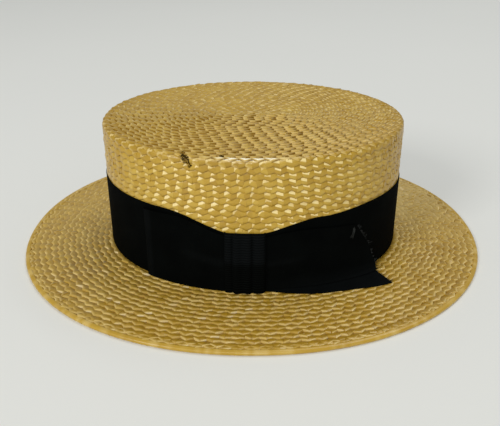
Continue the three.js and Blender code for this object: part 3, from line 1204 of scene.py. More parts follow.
def closed_cap(
    name: str, profile: Sequence[tuple[float, float]], place: Placer, steps: int
) -> bpy.types.Object:
    """A closed hollow shell: a ball whose north is the outside and whose south is the inside.

    Args:
        name: the name of the piece.
        profile: pairs for place, from the outer middle to the inner middle.
        place: gives points from shares of a turn and the two numbers of each pair.
        steps: how many stations there are round the shell.

    Returns:
        The mesh object.
    """
    deselect()
    bpy.ops.mesh.primitive_uv_sphere_add(segments=steps, ring_count=len(profile) - 1, radius=1.0)
    piece = added(name)
    points = corner_places(piece)
    row = np.rint(np.arccos(np.clip(points[:, 2], -1, 1)) / math.pi * (len(profile) - 1)).astype(int)
    turn = (np.arctan2(points[:, 1], points[:, 0]) - FRONT) / TURN
    pairs = np.array(profile, dtype=float)[row]
    move_points(piece, place(turn, pairs[:, 0], pairs[:, 1]))
    return piece


def ribbon_sheet(
    name: str,
    columns: int,
    rows: int,
    place: Callable[[np.ndarray, np.ndarray], np.ndarray],
    lie: Callable[[np.ndarray, np.ndarray], np.ndarray],
    thickness: float,
    fade: Callable[[np.ndarray, np.ndarray], np.ndarray] | None = None,
) -> bpy.types.Object:
    """A length of ribbon: a grid set in its place and given its thickness.

    Args:
        name: the name of the piece.
        columns: how many spans it has lengthwise.
        rows: how many spans it has crosswise.
        place: gives points from shares of the length and the width.
        lie: gives UV pairs from the same shares.
        thickness: how thick the ribbon is.
        fade: gives how much painted sheen the ribbon has, from the same shares.

    Returns:
        The mesh object.
    """
    deselect()
    bpy.ops.mesh.primitive_grid_add(x_subdivisions=columns, y_subdivisions=rows, size=1.0)
    piece = added(name)
    points = corner_places(piece)
    u, v = points[:, 0] + 0.5, points[:, 1] + 0.5
    move_points(piece, place(u, v))
    lay_map(piece, lie(u, v))
    note_on_corners(piece, "lightened", fade(u, v) if fade else 0.0 * u)
    wall = piece.modifiers.new("thickness", "SOLIDIFY")
    wall.thickness = thickness
    wall.offset = 0.0
    bpy.ops.object.modifier_apply(modifier=wall.name)
    smooth(piece, 45.0)
    return piece


def strands(name: str, ways: Sequence[np.ndarray], radius: float) -> bpy.types.Object:
    """Many thin threads or splinters as one mesh.

    Args:
        name: the name of the piece.
        ways: the middle line of each thread, as an array of points.
        radius: half the width of a thread.

    Returns:
        The mesh object.
    """
    corners, faces = [], []
    for way in ways:
        first = sum(len(part) for part in corners)
        ahead = np.gradient(way, axis=0)
        ahead /= np.linalg.norm(ahead, axis=1, keepdims=True)
        side = np.cross(ahead, np.array([0.3, 0.2, 1.0]))
        side /= np.linalg.norm(side, axis=1, keepdims=True)
        rise = np.cross(side, ahead)
        taper = np.linspace(1.0, 0.55, len(way))[:, None] * radius
        ring = [side, -0.5 * side + 0.87 * rise, -0.5 * side - 0.87 * rise]
        corners.append(np.concatenate([way + part * taper for part in ring]))
        count = len(way)
        for k in range(count - 1):
            for i in range(3):
                j = (i + 1) % 3
                a, b = first + i * count + k, first + j * count + k
                faces.append((a, b, b + 1, a + 1))
        faces.append(tuple(first + i * count for i in (2, 1, 0)))
        faces.append(tuple(first + i * count + count - 1 for i in (0, 1, 2)))
    mesh = bpy.data.meshes.new(name)
    mesh.from_pydata(np.concatenate(corners).tolist(), [], faces)
    piece = bpy.data.objects.new(name, mesh)
    bpy.context.scene.collection.objects.link(piece)
    deselect()
    piece.select_set(True)
    bpy.context.view_layer.objects.active = piece
    bpy.ops.object.mode_set(mode="EDIT")
    bpy.ops.mesh.select_all(action="SELECT")
    bpy.ops.mesh.normals_make_consistent(inside=False)
    bpy.ops.object.mode_set(mode="OBJECT")
    lay_map(piece, np.zeros((len(mesh.vertices), 2)))
    smooth(piece, 80.0)
    return piece


# The hat's straw


@dataclass
class Crown:
    """The crown: a thin shell of under-straw, plait over it and plait inside it."""

    block: HatBlock
    plait: PlaitSizes = field(default_factory=PlaitSizes)
    shell_out: float = -1.02 * MM
    shell_in: float = -1.36 * MM
    lining_bottom: float = -1.0 * MM
    lining_start: float = -0.6 * MM
    lining_end: float = -5.0 * MM
    wall_lead: float = 2.35 * MM
    wall_teeth: float = 77.04
    wall_rounds: float = 13.0
    foot_rounds: float = 9.2
    amber_width: float = 8.0 * MM
    # Where the painted highlight along the shoulder's front lies and how wide it is.
    highlight_at: float = 0.9 * MM
    highlight_width: float = 1.35 * MM
    highlight_middle: float = -0.006
    highlight_turn: float = 0.045
    hollow_width: float = 3.4 * MM
    hollow_filled: float = 0.72

    crack = (
        (0.9215, 73.5, 0.8), (0.9235, 76.0, 1.0), (0.9262, 78.6, 1.6), (0.9290, 80.8, 2.0),
        (0.9318, 82.8, 2.1), (0.9342, 84.6, 1.7), (0.9362, 86.3, 1.1),
    )
    hole = (0.9668, 76.8, 1.7)
    # How strong the painted cap highlights on the wall are at each share of a turn.
    cap_rows = (
        (-0.5, 0.35), (-0.2, 0.15), (-0.15, 0.15), (-0.12, 0.5), (-0.09, 1.0), (-0.04, 1.0), (-0.015, 0.65),
        (0.0, 0.55), (0.02, 0.85), (0.06, 0.9), (0.09, 0.6), (0.13, 0.3), (0.16, 0.15), (0.5, 0.35),
    )

    def __post_init__(self) -> None:
        """Works out the crown's surface."""
        self.surface = self.block.crown_surface()

    def age(self, turn: np.ndarray, across: np.ndarray) -> np.ndarray:
        """How amber the straw is: most at the shoulder's two ends.

        Args:
            turn: shares of a turn.
            across: places across the rounds.

        Returns:
            The age, where 1 is amber.
        """
        ends = np.abs(np.sin(turn * TURN)) ** 1.5
        shoulder = np.exp(-(((across - self.block.wall_start()) / self.amber_width) ** 2))
        return 1.1 * ends * shoulder + 0.1

    def pale_patch(self, turn: np.ndarray, across: np.ndarray) -> np.ndarray:
        """How far the straw is painted white, a painted highlight along the middle of the shoulder's front.

        Args:
            turn: shares of a turn.
            across: places across the rounds.

        Returns:
            Shares from 0 to 1.
        """
        crest = self.block.tip_reach + self.highlight_at
        away = np.mod(turn + 0.5, 1.0) - 0.5 - self.highlight_middle
        return np.exp(-(((across - crest) / self.highlight_width) ** 4) - (away / self.highlight_turn) ** 4)

    def harm(self, turn: np.ndarray, across: np.ndarray) -> np.ndarray:
        """How far the straw is broken, where the crack runs over the shoulder.

        Args:
            turn: shares of a turn.
            across: places across the rounds.

        Returns:
            How sunken the straw is, where 0 is sound.
        """
        girth = float(self.surface.girth(80.0 * MM)) / MM
        worst = 0.0 * across
        for x, y, radius in self.crack:
            away = np.hypot((turn - x) * girth, across / MM - y)
            worst = np.maximum(worst, 1.0 - ease(away, 0.5 * radius, 1.3 * radius))
        return worst

    def thickened(self, turn: np.ndarray, across: np.ndarray) -> np.ndarray:
        """How far the inner straws are sunken: less than 0, where they fill the shoulder's hollow corner."""
        corner = self.block.tip_reach + self.block.shoulder_reach / 2.0
        return -1.5 * np.exp(-(((across - corner) / (3.5 * MM)) ** 2)) + 0.0 * turn

    def spots(self) -> tuple[tuple[float, float, float, float], ...]:
        """The points of the crack and the hole in space, each with a radius in metres.

        Returns:
            The x, y, z and radius of each point.
        """
        rows = np.array([*self.crack, self.hole])
        points = self.surface.place(rows[:, 0], rows[:, 1] * MM, -0.2 * MM + 0.0 * rows[:, 0])
        return tuple((*map(float, point), float(radius) * MM) for point, radius in zip(points, rows[:, 2]))

    def more_tucked(self, base: np.ndarray) -> np.ndarray:
        """How much further the rounds reach under each other along the shoulder."""
        crest = self.block.tip_reach + 3.5 * MM
        return 1.5 * MM * np.exp(-(((base - crest) / (4.0 * MM)) ** 4))

    def tuck(self, across: np.ndarray) -> np.ndarray:
        """How far a round dips under the last one: less at the tip's middle and on the shoulder.

        Args:
            across: places across the rounds.

        Returns:
            Shares of the usual dip.
        """
        middle = ease(across, 2.0 * MM, 7.0 * MM) + 1.5 * (1.0 - ease(across, -1.2 * MM, 0.0))
        crest = self.block.tip_reach + self.block.shoulder_reach * 0.5
        return middle * (1.0 - self.hollow_filled * np.exp(-(((across - crest) / self.hollow_width) ** 2)))

    def build(self, straw: bpy.types.Material) -> list[bpy.types.Object]:
        """Builds the shell and its layers of plait.

        Args:
            straw: the finish.

        Returns:
            The pieces.
        """
        surface = self.surface
        reach = surface.reach
        top = self.block.wall_start()
        first = top + self.wall_lead
        stations = list(np.linspace(0.5 * MM, top - self.block.shoulder_reach, 8))
        stations += list(np.linspace(top - self.block.shoulder_reach, top, 6)[1:])
        stations += list(np.linspace(top, reach, 5)[1:])
        profile = [(s, self.shell_out) for s in stations] + [(s, self.shell_in) for s in reversed(stations)]
        shell = closed_cap("crown_shell", profile, surface.place, 180)
        # The shell is painted dark with the hollow colour: painted shade where it shows between the straws.
        for name, value in (("tone", 0.3), ("age", 0.75), ("depth", 0.9)):
            note_on_corners(shell, name, np.full(len(shell.data.vertices), value))
        lay_map(shell, corner_places(shell)[:, :2] / MM)
        smooth(shell, 50.0)
        hand_over(shell, Slot.STRAW, straw, "crown")
        pieces = [shell]
        limb = StrawLimb()
        # The wall's straws get painted shadow lines along their lower edges, a little painted shade and
        # painted cap highlights.
        wall = PlaitLayer(
            "crown_wall_plait", surface, first, self.wall_rounds, limb, 11,
            teeth_a_turn=self.wall_teeth, sizes=self.plait, age=self.age, tuck=self.tuck,
            painted_light=PaintedPlaitLight((1.0, 0.8), 0.02, 0.1, capped=1.35, brink=0.15), pale_patch=self.pale_patch,
            sunken=self.harm, caps=curve_through(self.cap_rows), more_tucked=self.more_tucked,
        ).build()
        tip_rounds = math.floor(first / self.plait.pitch)
        # The tip's straws get painted shade along their edges, over their bodies and in the hollows, and
        # painted highlights along the falling straws' edges and on small caps.
        tip = PlaitLayer(
            "crown_tip_plait", surface, first - tip_rounds * self.plait.pitch, tip_rounds, limb, 12,
            sizes=self.plait, age=self.age, tuck=self.tuck,
            painted_light=PaintedPlaitLight((0.9, 0.15), 0.16, 0.62, (0.0, 0.75), capped=0.5, brink=0.18),
            pale_patch=self.pale_patch, sunken=self.harm, more_tucked=self.more_tucked,
        ).build()
        plain = StrawLimb(columns=(0, 1, 5, 6), rows=(0, 2, 5, 6))
        hidden = StrawLimb(columns=(0, 1, 5, 6), rows=(0, 2, 6))
        foot = PlaitLayer(
            "crown_foot_plait", surface, first + self.wall_rounds * self.plait.pitch, self.foot_rounds,
            hidden, 14, teeth_a_turn=self.wall_teeth, sizes=self.plait, age=self.age,
        ).build()
        for piece in (wall, tip, foot):
            hand_over(piece, Slot.STRAW, straw, "crown")
            pieces.append(piece)
        lining = PlaitLayer(
            "crown_inner_plait", surface, self.lining_start,
            (reach + self.lining_end - self.lining_start) / self.plait.pitch, plain, 13,
            face=Face.INSIDE, depth=self.block.crown_wall, age=self.age,
            sizes=replace(self.plait, bottom=self.lining_bottom), sunken=self.thickened,
        ).build()
        hand_over(lining, Slot.STRAW, StrawFinish("inner_straw").make(), "crown")
        pieces.append(lining)
        splinters = self.splinters()
        hand_over(splinters, Slot.STRAW, StrawFinish("split_straw", coat=0.0).make(), "crown")
        pieces.append(splinters)
        return pieces

    def splinters(self) -> bpy.types.Object:
        """The broken straws that stand in the crack.

        Returns:
            The mesh object.
        """
        draw = np.random.default_rng(15)
        (x0, y0, _), (x1, y1, _) = self.crack[2], self.crack[-1]
        ways = []
        for _ in range(16):
            share = draw.uniform(0.0, 1.0)
            turn = x0 + (x1 - x0) * share + draw.normal(-0.0012, 0.0016)
            across = (y0 + (y1 - y0) * share + draw.normal(0.3, 0.5)) * MM
            reach = draw.uniform(-0.004, 0.004)
            steps = np.linspace(0.0, 1.0, 4)
            out = -0.5 * MM + (0.5 + draw.uniform(0.0, 0.7)) * MM * np.sin(steps * 2.4)
            slide = across + steps * draw.uniform(0.5, 2.6) * MM
            ways.append(self.surface.place(turn + reach * steps, slide, out))
        piece = strands("crown_splinters", ways, 0.2 * MM)
        count = len(piece.data.vertices)
        note_on_corners(piece, "tone", draw.uniform(0.2, 1.0, count))
        note_on_corners(piece, "depth", np.repeat(draw.uniform(0.0, 1.0, len(ways)), count // len(ways)))
        return piece


@dataclass
class Brim:
    """The brim: a flat ring of under-straw with plait on both faces and a bound edge."""

    block: HatBlock
    plait: PlaitSizes = field(default_factory=PlaitSizes)
    shell_out: float = -1.02 * MM
    shell_in: float = -1.36 * MM
    under_out: float = -1.7 * MM
    rim_width: float = 3.2 * MM
    rounds: float = 14.0
    seam: float = 0.42
    under_bottom: float = -0.6 * MM
    under_deepest: float = -0.5 * MM
    inner_rounds: float = 7.0
    # How strong and how wide the painted shade is at the brim's front, where the crown and its ribbon darken
    # it.
    front_shade: float = 0.95
    front_shade_turn: float = 0.1
    rim_stations: int = 360
    jitter: float = 0.26 * MM
    roll: float = 0.09
    twist: float = 0.085
    # The brim's straws get painted shade over their bodies and in the hollows, and painted highlights along
    # their edges, uneven from straw to straw.
    painted_light: PaintedPlaitLight = PaintedPlaitLight(body=0.5, hollow=1.0, edge_highlight=(0.72, 0.62), patchy=0.75)

    pale_rows = ((0.34, 0.09, 0.36), (0.72, 0.12, 0.13))

    def age(self, turn: np.ndarray, across: np.ndarray) -> np.ndarray:
        """How amber the straw is: more along the outer rounds, and dark amber at the front as painted shade,
        where the crown and its ribbon darken the brim.

        Args:
            turn: shares of a turn.
            across: places across the rounds.

        Returns:
            The age, where 1 is amber.
        """
        away = np.mod(turn + 0.5, 1.0) - 0.5
        # Painted shade: the front of the brim goes dark amber.
        front = self.front_shade * np.exp(-((away / self.front_shade_turn) ** 2))
        return 0.1 + front + 0.25 * ease(across, 40.0 * MM, 56.0 * MM)

    def pale_patch(self, turn: np.ndarray, across: np.ndarray) -> np.ndarray:
        """How much paler the straw is: a little at the hat's far side and at its front end.

        Args:
            turn: shares of a turn.
            across: places across the rounds.

        Returns:
            Shares from 0 to 1.
        """
        lightened = 0.0 * (turn + across)
        for middle, half, most in self.pale_rows:
            away = np.mod(turn - middle + 0.5, 1.0) - 0.5
            lightened = lightened + most * np.exp(-((away / half) ** 2))
        return lightened

    def build(self, straw: bpy.types.Material) -> list[bpy.types.Object]:
        """Builds the ring, its layers of plait and its rim.

        Args:
            straw: the finish.

        Returns:
            The pieces.
        """
        surface = self.block.brim_surface()
        reach = surface.reach
        low, high = self.shell_in, self.shell_out
        section = [(reach - 2.0 * MM, low), (reach - 2.0 * MM, high)]
        section += [(reach * share, high) for share in (0.75, 0.5, 0.25)]
        section += [(0.4 * MM, high), (0.4 * MM, low)]
        section += [(reach * share, low) for share in (0.25, 0.5, 0.75)]
        # The shell is painted dark with the hollow colour: painted shade where it shows between the straws.
        shell = closed_ring(
            "brim_shell", section, surface.place, 180,
            lambda turn, minor: np.stack([turn * 700.0, minor * 8.0], axis=1),
            {
                "tone": lambda turn: np.full(len(turn), 0.3),
                "age": lambda turn: np.full(len(turn), 0.6),
                "depth": lambda turn: np.full(len(turn), 0.9),
                "wear_and_highlight": lambda turn: np.zeros(len(turn)),
            },
        )
        smooth(shell, 50.0)
        hand_over(shell, Slot.STRAW, straw, "brim")
        last = reach - self.rim_width + 0.5 * MM
        start = last - self.rounds * self.plait.pitch
        limb = StrawLimb()
        loose = replace(self.plait, jitter=self.jitter, roll=self.roll, twist=self.twist)
        over = PlaitLayer(
            "brim_upper_plait", surface, start, self.inner_rounds, limb, 21, sizes=loose, age=self.age,
            turned=self.seam, painted_light=self.painted_light, pale_patch=self.pale_patch, creased=0.0,
        ).build()
        middle = PlaitLayer(
            "brim_middle_plait", surface, start + self.inner_rounds * self.plait.pitch,
            self.rounds - self.inner_rounds, limb, 24, sizes=loose, age=self.age, turned=self.seam,
            painted_light=self.painted_light, pale_patch=self.pale_patch, creased=0.0,
        ).build()
        outer = PlaitLayer(
            "brim_outer_plait", surface, last, 0.999, limb, 23,
            sizes=replace(loose, tucked=3.6 * MM), age=self.age, spiral=False,
            painted_light=self.painted_light,
        ).build()
        plain = StrawLimb(columns=(0, 1, 5, 6), rows=(0, 2, 5, 6))
        under = PlaitLayer(
            "brim_under_plait", surface, 1.0 * MM, self.rounds - 0.4, plain, 22,
            face=Face.INSIDE, depth=-self.under_out, age=self.age,
            sizes=replace(self.plait, bottom=self.under_bottom, deepest=self.under_deepest),
        ).build()
        rim = self.rim(surface)
        for piece in (over, middle, outer, under, rim):
            hand_over(piece, Slot.STRAW, straw, "brim")
        return [shell, over, middle, outer, under, rim]

    def rim(self, surface: StrawSurface) -> bpy.types.Object:
        """The outermost round: a smooth flat straw bound over the edge.

        Args:
            surface: the brim's upper surface.

        Returns:
            The mesh object.
        """
        reach = surface.reach
        half = self.block.brim_thickness / 2.0
        section = []
        for degrees in (-75, -45, -15, 15, 45, 75):
            bend = math.radians(degrees)
            across = reach - 1.1 * MM + 1.1 * MM * math.cos(bend)
            section.append((across, -half + (half + 0.05 * MM) * math.sin(bend)))
        inner = reach - self.rim_width
        section += [(reach - 2.2 * MM, 0.16 * MM), (inner + 0.5 * MM, 0.1 * MM), (inner, -0.55 * MM)]
        section += [(inner, -2.0 * MM), (inner + 0.6 * MM, -2.42 * MM), (reach - 2.4 * MM, -2.46 * MM)]
        draw = np.random.default_rng(31)
        count = self.rim_stations
        lengths = np.append(np.repeat(draw.beta(2.0, 2.0, count // 3), 3), 0.5)
        flecks = np.append(np.maximum(draw.beta(1.2, 1.2, count) - 0.5, 0.0), 0.0)
        piece = closed_ring(
            "brim_rim", section, surface.place, count,
            lambda turn, minor: np.stack([turn * 936.0, minor * 0.8], axis=1),
            {
                "tone": lambda turn: 0.2 + 0.5 * lengths[np.rint(turn * count).astype(int)],
                "age": lambda turn: np.full(len(turn), 0.5),
                "wear_and_highlight": lambda turn: 0.9 * flecks[np.rint(turn * count).astype(int)],
            },
        )
        smooth(piece, 60.0)
        return piece


# The ribbon


@dataclass
class RibbonWay:
    """The way of the ribbon round the crown's wall, in millimetres from the middle of the left side."""

    block: HatBlock
    samples: int = 2880

    def __post_init__(self) -> None:
        """Measures the crown's foot."""
        angle = FRONT + np.linspace(-TURN, TURN, 2 * self.samples + 1)
        middle = (angle[1:] + angle[:-1]) / 2.0
        speed = np.hypot(self.block.half_length * np.sin(middle), self.block.half_width * np.cos(middle))
        run = np.concatenate([[0.0], np.cumsum(speed * np.diff(angle))]) / MM
        self.run = run - run[self.samples]
        self.angle = angle
        self.girth = float(self.run[-1])

    def point(self, along: np.ndarray, out: np.ndarray, height: np.ndarray) -> np.ndarray:
        """Points beside the wall.

        Args:
            along: millimetres along the foot.
            out: millimetres out from the wall.
            height: millimetres over the floor.

        Returns:
            The points, in metres.
        """
        angle = np.interp(along, self.run, self.angle)
        lean = self.block.crown_lean * np.asarray(height) * MM / self.block.crown_height
        a = self.block.half_length - lean
        b = self.block.half_width - lean
        nx, ny = b * np.cos(angle), a * np.sin(angle)
        size = np.hypot(nx, ny)
        x = self.block.set_back + a * np.cos(angle) + np.asarray(out) * MM * nx / size
        y = b * np.sin(angle) + np.asarray(out) * MM * ny / size
        return np.stack([x, y, np.asarray(height) * MM + 0.0 * x], axis=-1)


@dataclass
class HatBand:
    """The ribbon round the wall. Its upper edge is drawn down behind the bow."""

    way: RibbonWay
    foot: float = 2.8
    inner: float = 0.25
    outer: float = 0.7
    seam: float = -150.0
    steps: int = 480

    top_rows = (
        (-150, 53.0), (-94, 53.1), (-66, 53.0), (-53, 52.8), (-43, 51.2), (-35, 48.6), (-25.5, 45.2),
        (-16.6, 42.4), (-6, 41.9), (3, 42.0), (10, 43.1), (19, 45.8), (28, 48.2), (38, 50.0), (47, 49.9),
        (61, 50.6), (77, 51.4), (93, 51.4), (125, 50.6), (300, 51.2), (400, 52.5), (436, 53.0),
    )

    def build(self, grosgrain: bpy.types.Material) -> bpy.types.Object:
        """Builds the band as a closed ring of ribbon.

        Args:
            grosgrain: the finish.

        Returns:
            The piece.
        """
        top = curve_through(self.top_rows)
        shares = (0.0, 0.015, 0.1, 0.25, 0.42, 0.58, 0.75, 0.9, 0.985, 1.0)
        outs = (0.7, 1.0, 0.9, 0.9, 0.9, 0.9, 0.9, 0.9, 1.0, 0.7)
        section = [(share, self.inner + (self.outer - self.inner) * out) for share, out in zip(shares, outs)]
        section += [(share, self.inner) for share in reversed(shares)]
        girth = self.way.girth

        def place(turn: np.ndarray, share: np.ndarray, out: np.ndarray) -> np.ndarray:
            """Points of the band.

            Args:
                turn: shares of a turn.
                share: shares of the ribbon's width, from its foot.
                out: distances outwards in millimetres.

            Returns:
                Points in metres.
            """
            along = self.seam + turn * girth
            height = self.foot + (top(along) - self.foot) * share
            return self.way.point(along, out, height)

        widths = np.array([pair[0] for pair in [*section, section[0]]])
        band = closed_ring(
            "hat_band_ribbon", section, place, self.steps,
            lambda turn, minor: np.stack([turn * girth / 10.0, widths[minor] * RIBBON_CM], axis=1),
        )
        smooth(band, 50.0)
        hand_over(band, Slot.RIBBON, grosgrain, "hat_band")
        return band


@dataclass
class Bow:
    """The flat bow: a folded loop, a cut tail that flares over the brim, and a pleated knot."""

    way: RibbonWay
    place_along: float = -4.9
    foot: float = 2.8
    thickness: float = 0.45
    knot_width: float = 24.6
    loop_end: float = 64.5
    loop_fold: float = 3.0
    loop_under: float = 1.2
    loop_over: float = 2.5
    pinch: float = 1.6
    crease_at: float = 0.53
    crease_width: float = 0.05
    tail_reach: float = 85.4
    tail_flare: float = 21.7
    tail_out: float = 1.9
    gathered: float = 38.7

    loop_top_rows = (
        (0, 41.2), (12, 41.6), (21, 44.4), (30, 47.9), (38, 50.2), (48, 50.6), (58, 50.3), (64.5, 50.0),
    )
    ridge_rows = ((0, 0.0), (0.25, 0.3), (0.5, 0.9), (0.58, 1.0), (0.72, 0.55), (1, 0.0))
    ridge_fade_rows = ((0, 1.0), (14, 1.0), (29, 0.6), (46, 0.0), (90, 0.0))
    tail_top_rows = (
        (0, 0.985), (0.15, 0.985), (0.28, 1.03), (0.38, 1.05), (0.51, 1.045), (0.645, 1.01),
        (0.775, 0.975), (0.9, 0.93), (1, 0.91),
    )
    tail_flare_rows = (
        (0, 0.02), (0.15, 0.02), (0.28, 0.15), (0.38, 0.27), (0.51, 0.4), (0.645, 0.51), (0.775, 0.66),
        (0.9, 0.87), (1, 1.0),
    )
    tail_out_rows = (
        (0, 1.0), (0.005, 0.7), (0.015, 0.44), (0.06, 0.31), (0.15, 0.23), (0.3, 0.15), (0.55, 0.05),
        (0.81, 0.0), (1, 0.0),
    )
    tail_cut_rows = (
        (0, 0.98), (0.005, 0.99), (0.015, 0.995), (0.06, 1.0), (0.15, 1.005), (0.3, 0.99), (0.55, 0.965),
        (0.81, 0.895), (1, 0.835),
    )
    pleat_rows = (
        (-0.5, 0.0), (-0.46, 0.45), (-0.32, 0.4), (-0.29, 0.0), (-0.26, 1.0), (-0.05, 1.0), (0.145, 0.9),
        (0.175, 0.0), (0.205, 0.5), (0.46, 0.45), (0.5, 0.0),
    )

    def ridge(self, from_knot: np.ndarray, share: np.ndarray) -> np.ndarray:
        """How far the pinched ribbon bulges out at a place."""
        fade = curve_through(self.ridge_fade_rows)(np.abs(from_knot))
        return self.pinch * fade * curve_through(self.ridge_rows)(share)

    def creased(self, share: np.ndarray) -> np.ndarray:
        """How much painted sheen the ribbon has along the crest of its pinch: a painted highlight."""
        return 0.5 * np.exp(-(((share - self.crease_at) / self.crease_width) ** 2))

    def loop(self) -> bpy.types.Object:
        """The folded loop: out under itself, round the fold and back over to the knot.

        Returns:
            The mesh object.
        """
        top = curve_through(self.loop_top_rows)
        reach, fold = self.loop_end, self.loop_fold
        length = 2.0 * reach + fold

        def place(u: np.ndarray, v: np.ndarray) -> np.ndarray:
            """Points of the loop, from its lower end at the knot to its upper one.

            Args:
                u: shares along the ribbon.
                v: shares across the ribbon, from its foot.

            Returns:
                Points in metres.
            """
            run = u * length
            bend = np.clip((run - reach) / fold, 0.0, 1.0)
            away = np.where(run < reach, run, np.where(bend < 1.0, reach, length - run))
            away = away + np.sin(bend * math.pi) * 1.2
            share = (1.0 - np.cos(bend * math.pi)) / 2.0
            puff = 0.5 * np.exp(-(((away - reach + 4.0) / 5.0) ** 2)) * (2.0 * share - 1.0)
            out = self.loop_under + (self.loop_over - self.loop_under) * share + puff * 0.6
            height = self.foot + (top(away) - self.foot) * v
            out = out + self.ridge(away, v) * share
            return self.way.point(self.place_along - away, out, height)

        def lie(u: np.ndarray, v: np.ndarray) -> np.ndarray:
            """The map in centimetres."""
            return np.stack([u * length / 10.0, v * RIBBON_CM], axis=1)

        def fade(u: np.ndarray, v: np.ndarray) -> np.ndarray:
            """Painted sheen at the fold and along the pinch: painted highlights.

            Args:
                u: shares along the ribbon.
                v: shares across the ribbon, from its foot.

            Returns:
                How much painted sheen each place has.
            """
            away = length - u * length
            end = 0.55 * ease(away, reach - 5.0, reach - 3.5) * (u > 0.5)
            return end + self.creased(v) * (1.0 - ease(away, 30.0, 46.0)) * (u > 0.5)

        return ribbon_sheet("bow_loop_ribbon", 120, 18, place, lie, self.thickness * MM, fade)

    def tail(self) -> bpy.types.Object:
        """The cut end, whose lower margin flares out over the brim.

        Returns:
            The mesh object.
        """
        top = curve_through(self.tail_top_rows)
        flare = curve_through(self.tail_flare_rows)
        out_share = curve_through(self.tail_out_rows)
        cut = curve_through(self.tail_cut_rows)

        def place(u: np.ndarray, v: np.ndarray) -> np.ndarray:
            """Points of the tail, from the knot to the cut and from its foot up.

            Args:
                u: shares along the ribbon.
                v: shares across the ribbon, from its foot.

            Returns:
                Points in metres.
            """
            v = v**1.35
            along = u * cut(v)
            from_knot = along * self.tail_reach
            height = self.foot + 0.25 + (self.gathered * top(along) - 0.25) * v
            out = self.tail_out + self.tail_flare * flare(along) * out_share(v)
            out = out + self.ridge(from_knot, v)
            return self.way.point(self.place_along + from_knot, out, height)

        def lie(u: np.ndarray, v: np.ndarray) -> np.ndarray:
            """The map in centimetres."""
            return np.stack([u * self.tail_reach / 10.0, v**1.35 * RIBBON_CM], axis=1)

        def fade(u: np.ndarray, v: np.ndarray) -> np.ndarray:
            """Painted sheen over the flare and along the pinch: painted highlights."""
            low = (1.0 - ease(v**1.35, 0.06, 0.3)) * np.clip(0.25 + flare(u), 0.0, 1.0)
            return 0.75 * low + self.creased(v**1.35) * (1.0 - ease(u, 0.3, 0.5))

        self.tail_place = place
        return ribbon_sheet("bow_tail_ribbon", 70, 34, place, lie, self.thickness * MM, fade)

    def frays(self) -> bpy.types.Object:
        """The pale loose threads along the tail's cut, and a few that have fallen over its face.

        Returns:
            The mesh object.
        """
        draw = np.random.default_rng(41)
        v = draw.uniform(0.22, 0.985, 70)
        start = self.tail_place(np.full(len(v), 0.994), v)
        ahead = start - self.tail_place(np.full(len(v), 0.97), v)
        ahead /= np.linalg.norm(ahead, axis=1, keepdims=True)
        reach = draw.uniform(0.5, 2.6, (len(v), 1)) * MM
        stray = draw.normal(0.0, 0.35, (len(v), 3)) * [1.0, 0.5, 1.0]
        ways = []
        for share in np.linspace(0.0, 1.0, 4):
            step = start + ahead * reach * share + stray * reach * share**2
            step[:, 1] -= 0.3 * MM * share * (v > 0.3)
            step[:, 2] = np.maximum(step[:, 2], start[:, 2] - 0.2 * MM)
            ways.append(step)
        threads = list(np.stack(ways, axis=1))
        for _ in range(9):
            u = np.linspace(draw.uniform(0.945, 0.965), draw.uniform(0.86, 0.885), 5)
            down = np.linspace(draw.uniform(0.93, 0.97), draw.uniform(0.79, 0.83), 5)
            way = self.tail_place(u, down)
            way[:, 1] -= np.array([0.3, 0.9, 1.1, 0.9, 0.35]) * MM * draw.uniform(0.7, 1.1)
            threads.append(way)
        return strands("bow_frays", threads, 0.14 * MM)

    def fringe(self) -> bpy.types.Object:
        """The short dark threads that stand out over the straw from the tail's lower cut.

        Returns:
            The mesh object.
        """
        draw = np.random.default_rng(42)
        v = 0.005 + 0.3 * draw.uniform(0.0, 1.0, 60) ** 2.2
        start = self.tail_place(np.full(len(v), 0.996), v)
        reach = draw.uniform(0.7, 2.4, (len(v), 1)) * MM
        ahead = np.array([0.8, 0.55, 0.1]) + draw.normal(0.0, 0.35, (len(v), 3)) * [1.0, 1.0, 0.3]
        rise = np.array([0.0, 0.0, 0.25 * MM])
        ways = [start + (ahead * reach + rise) * share for share in np.linspace(0.0, 1.0, 4)]
        return strands("bow_fringe", list(np.stack(ways, axis=1)), 0.13 * MM)

    def knot(self) -> bpy.types.Object:
        """The pleated wrap over the middle of the bow.

        Returns:
            The mesh object.
        """
        pleat = curve_through(self.pleat_rows)
        line = (
            (0.0, 41.9, 0.3), (0.03, 42.6, 1.2), (0.06, 42.4, 2.2), (0.1, 41.2, 3.0), (0.18, 38.0, 3.5),
            (0.35, 31.0, 4.5), (0.5, 25.0, 5.3), (0.7, 17.0, 4.6), (0.9, 8.0, 3.9), (1.0, 3.0, 3.5),
        )
        height_at = curve_through([(row[0], row[1]) for row in line])
        out_at = curve_through([(row[0], row[2]) for row in line])

        def place(u: np.ndarray, v: np.ndarray) -> np.ndarray:
            """Points of the wrap, across the knot and from its foot up.

            Args:
                u: shares across the knot.
                v: shares of its height, from its foot.

            Returns:
                Points in metres.
            """
            across = u - 0.5
            down = 1.0 - v
            out = out_at(down) + 0.9 * pleat(across) * ease(down, 0.02, 0.12)
            out = out - 1.6 * ease(np.abs(across), 0.46, 0.5)
            return self.way.point(self.place_along + across * self.knot_width, out, height_at(down))

        def lie(u: np.ndarray, v: np.ndarray) -> np.ndarray:
            """The map in centimetres."""
            return np.stack([v * 4.6, u * self.knot_width / 10.0], axis=1)

        def fade(u: np.ndarray, v: np.ndarray) -> np.ndarray:
            """Painted sheen over the upper pleats: their tops painted lighter."""
            return 0.95 * ease(v, 0.44, 0.56) * (0.35 + 0.65 * np.clip(pleat(u - 0.5), 0.0, 1.0))

        return ribbon_sheet("bow_knot_ribbon", 60, 48, place, lie, self.thickness * MM, fade)

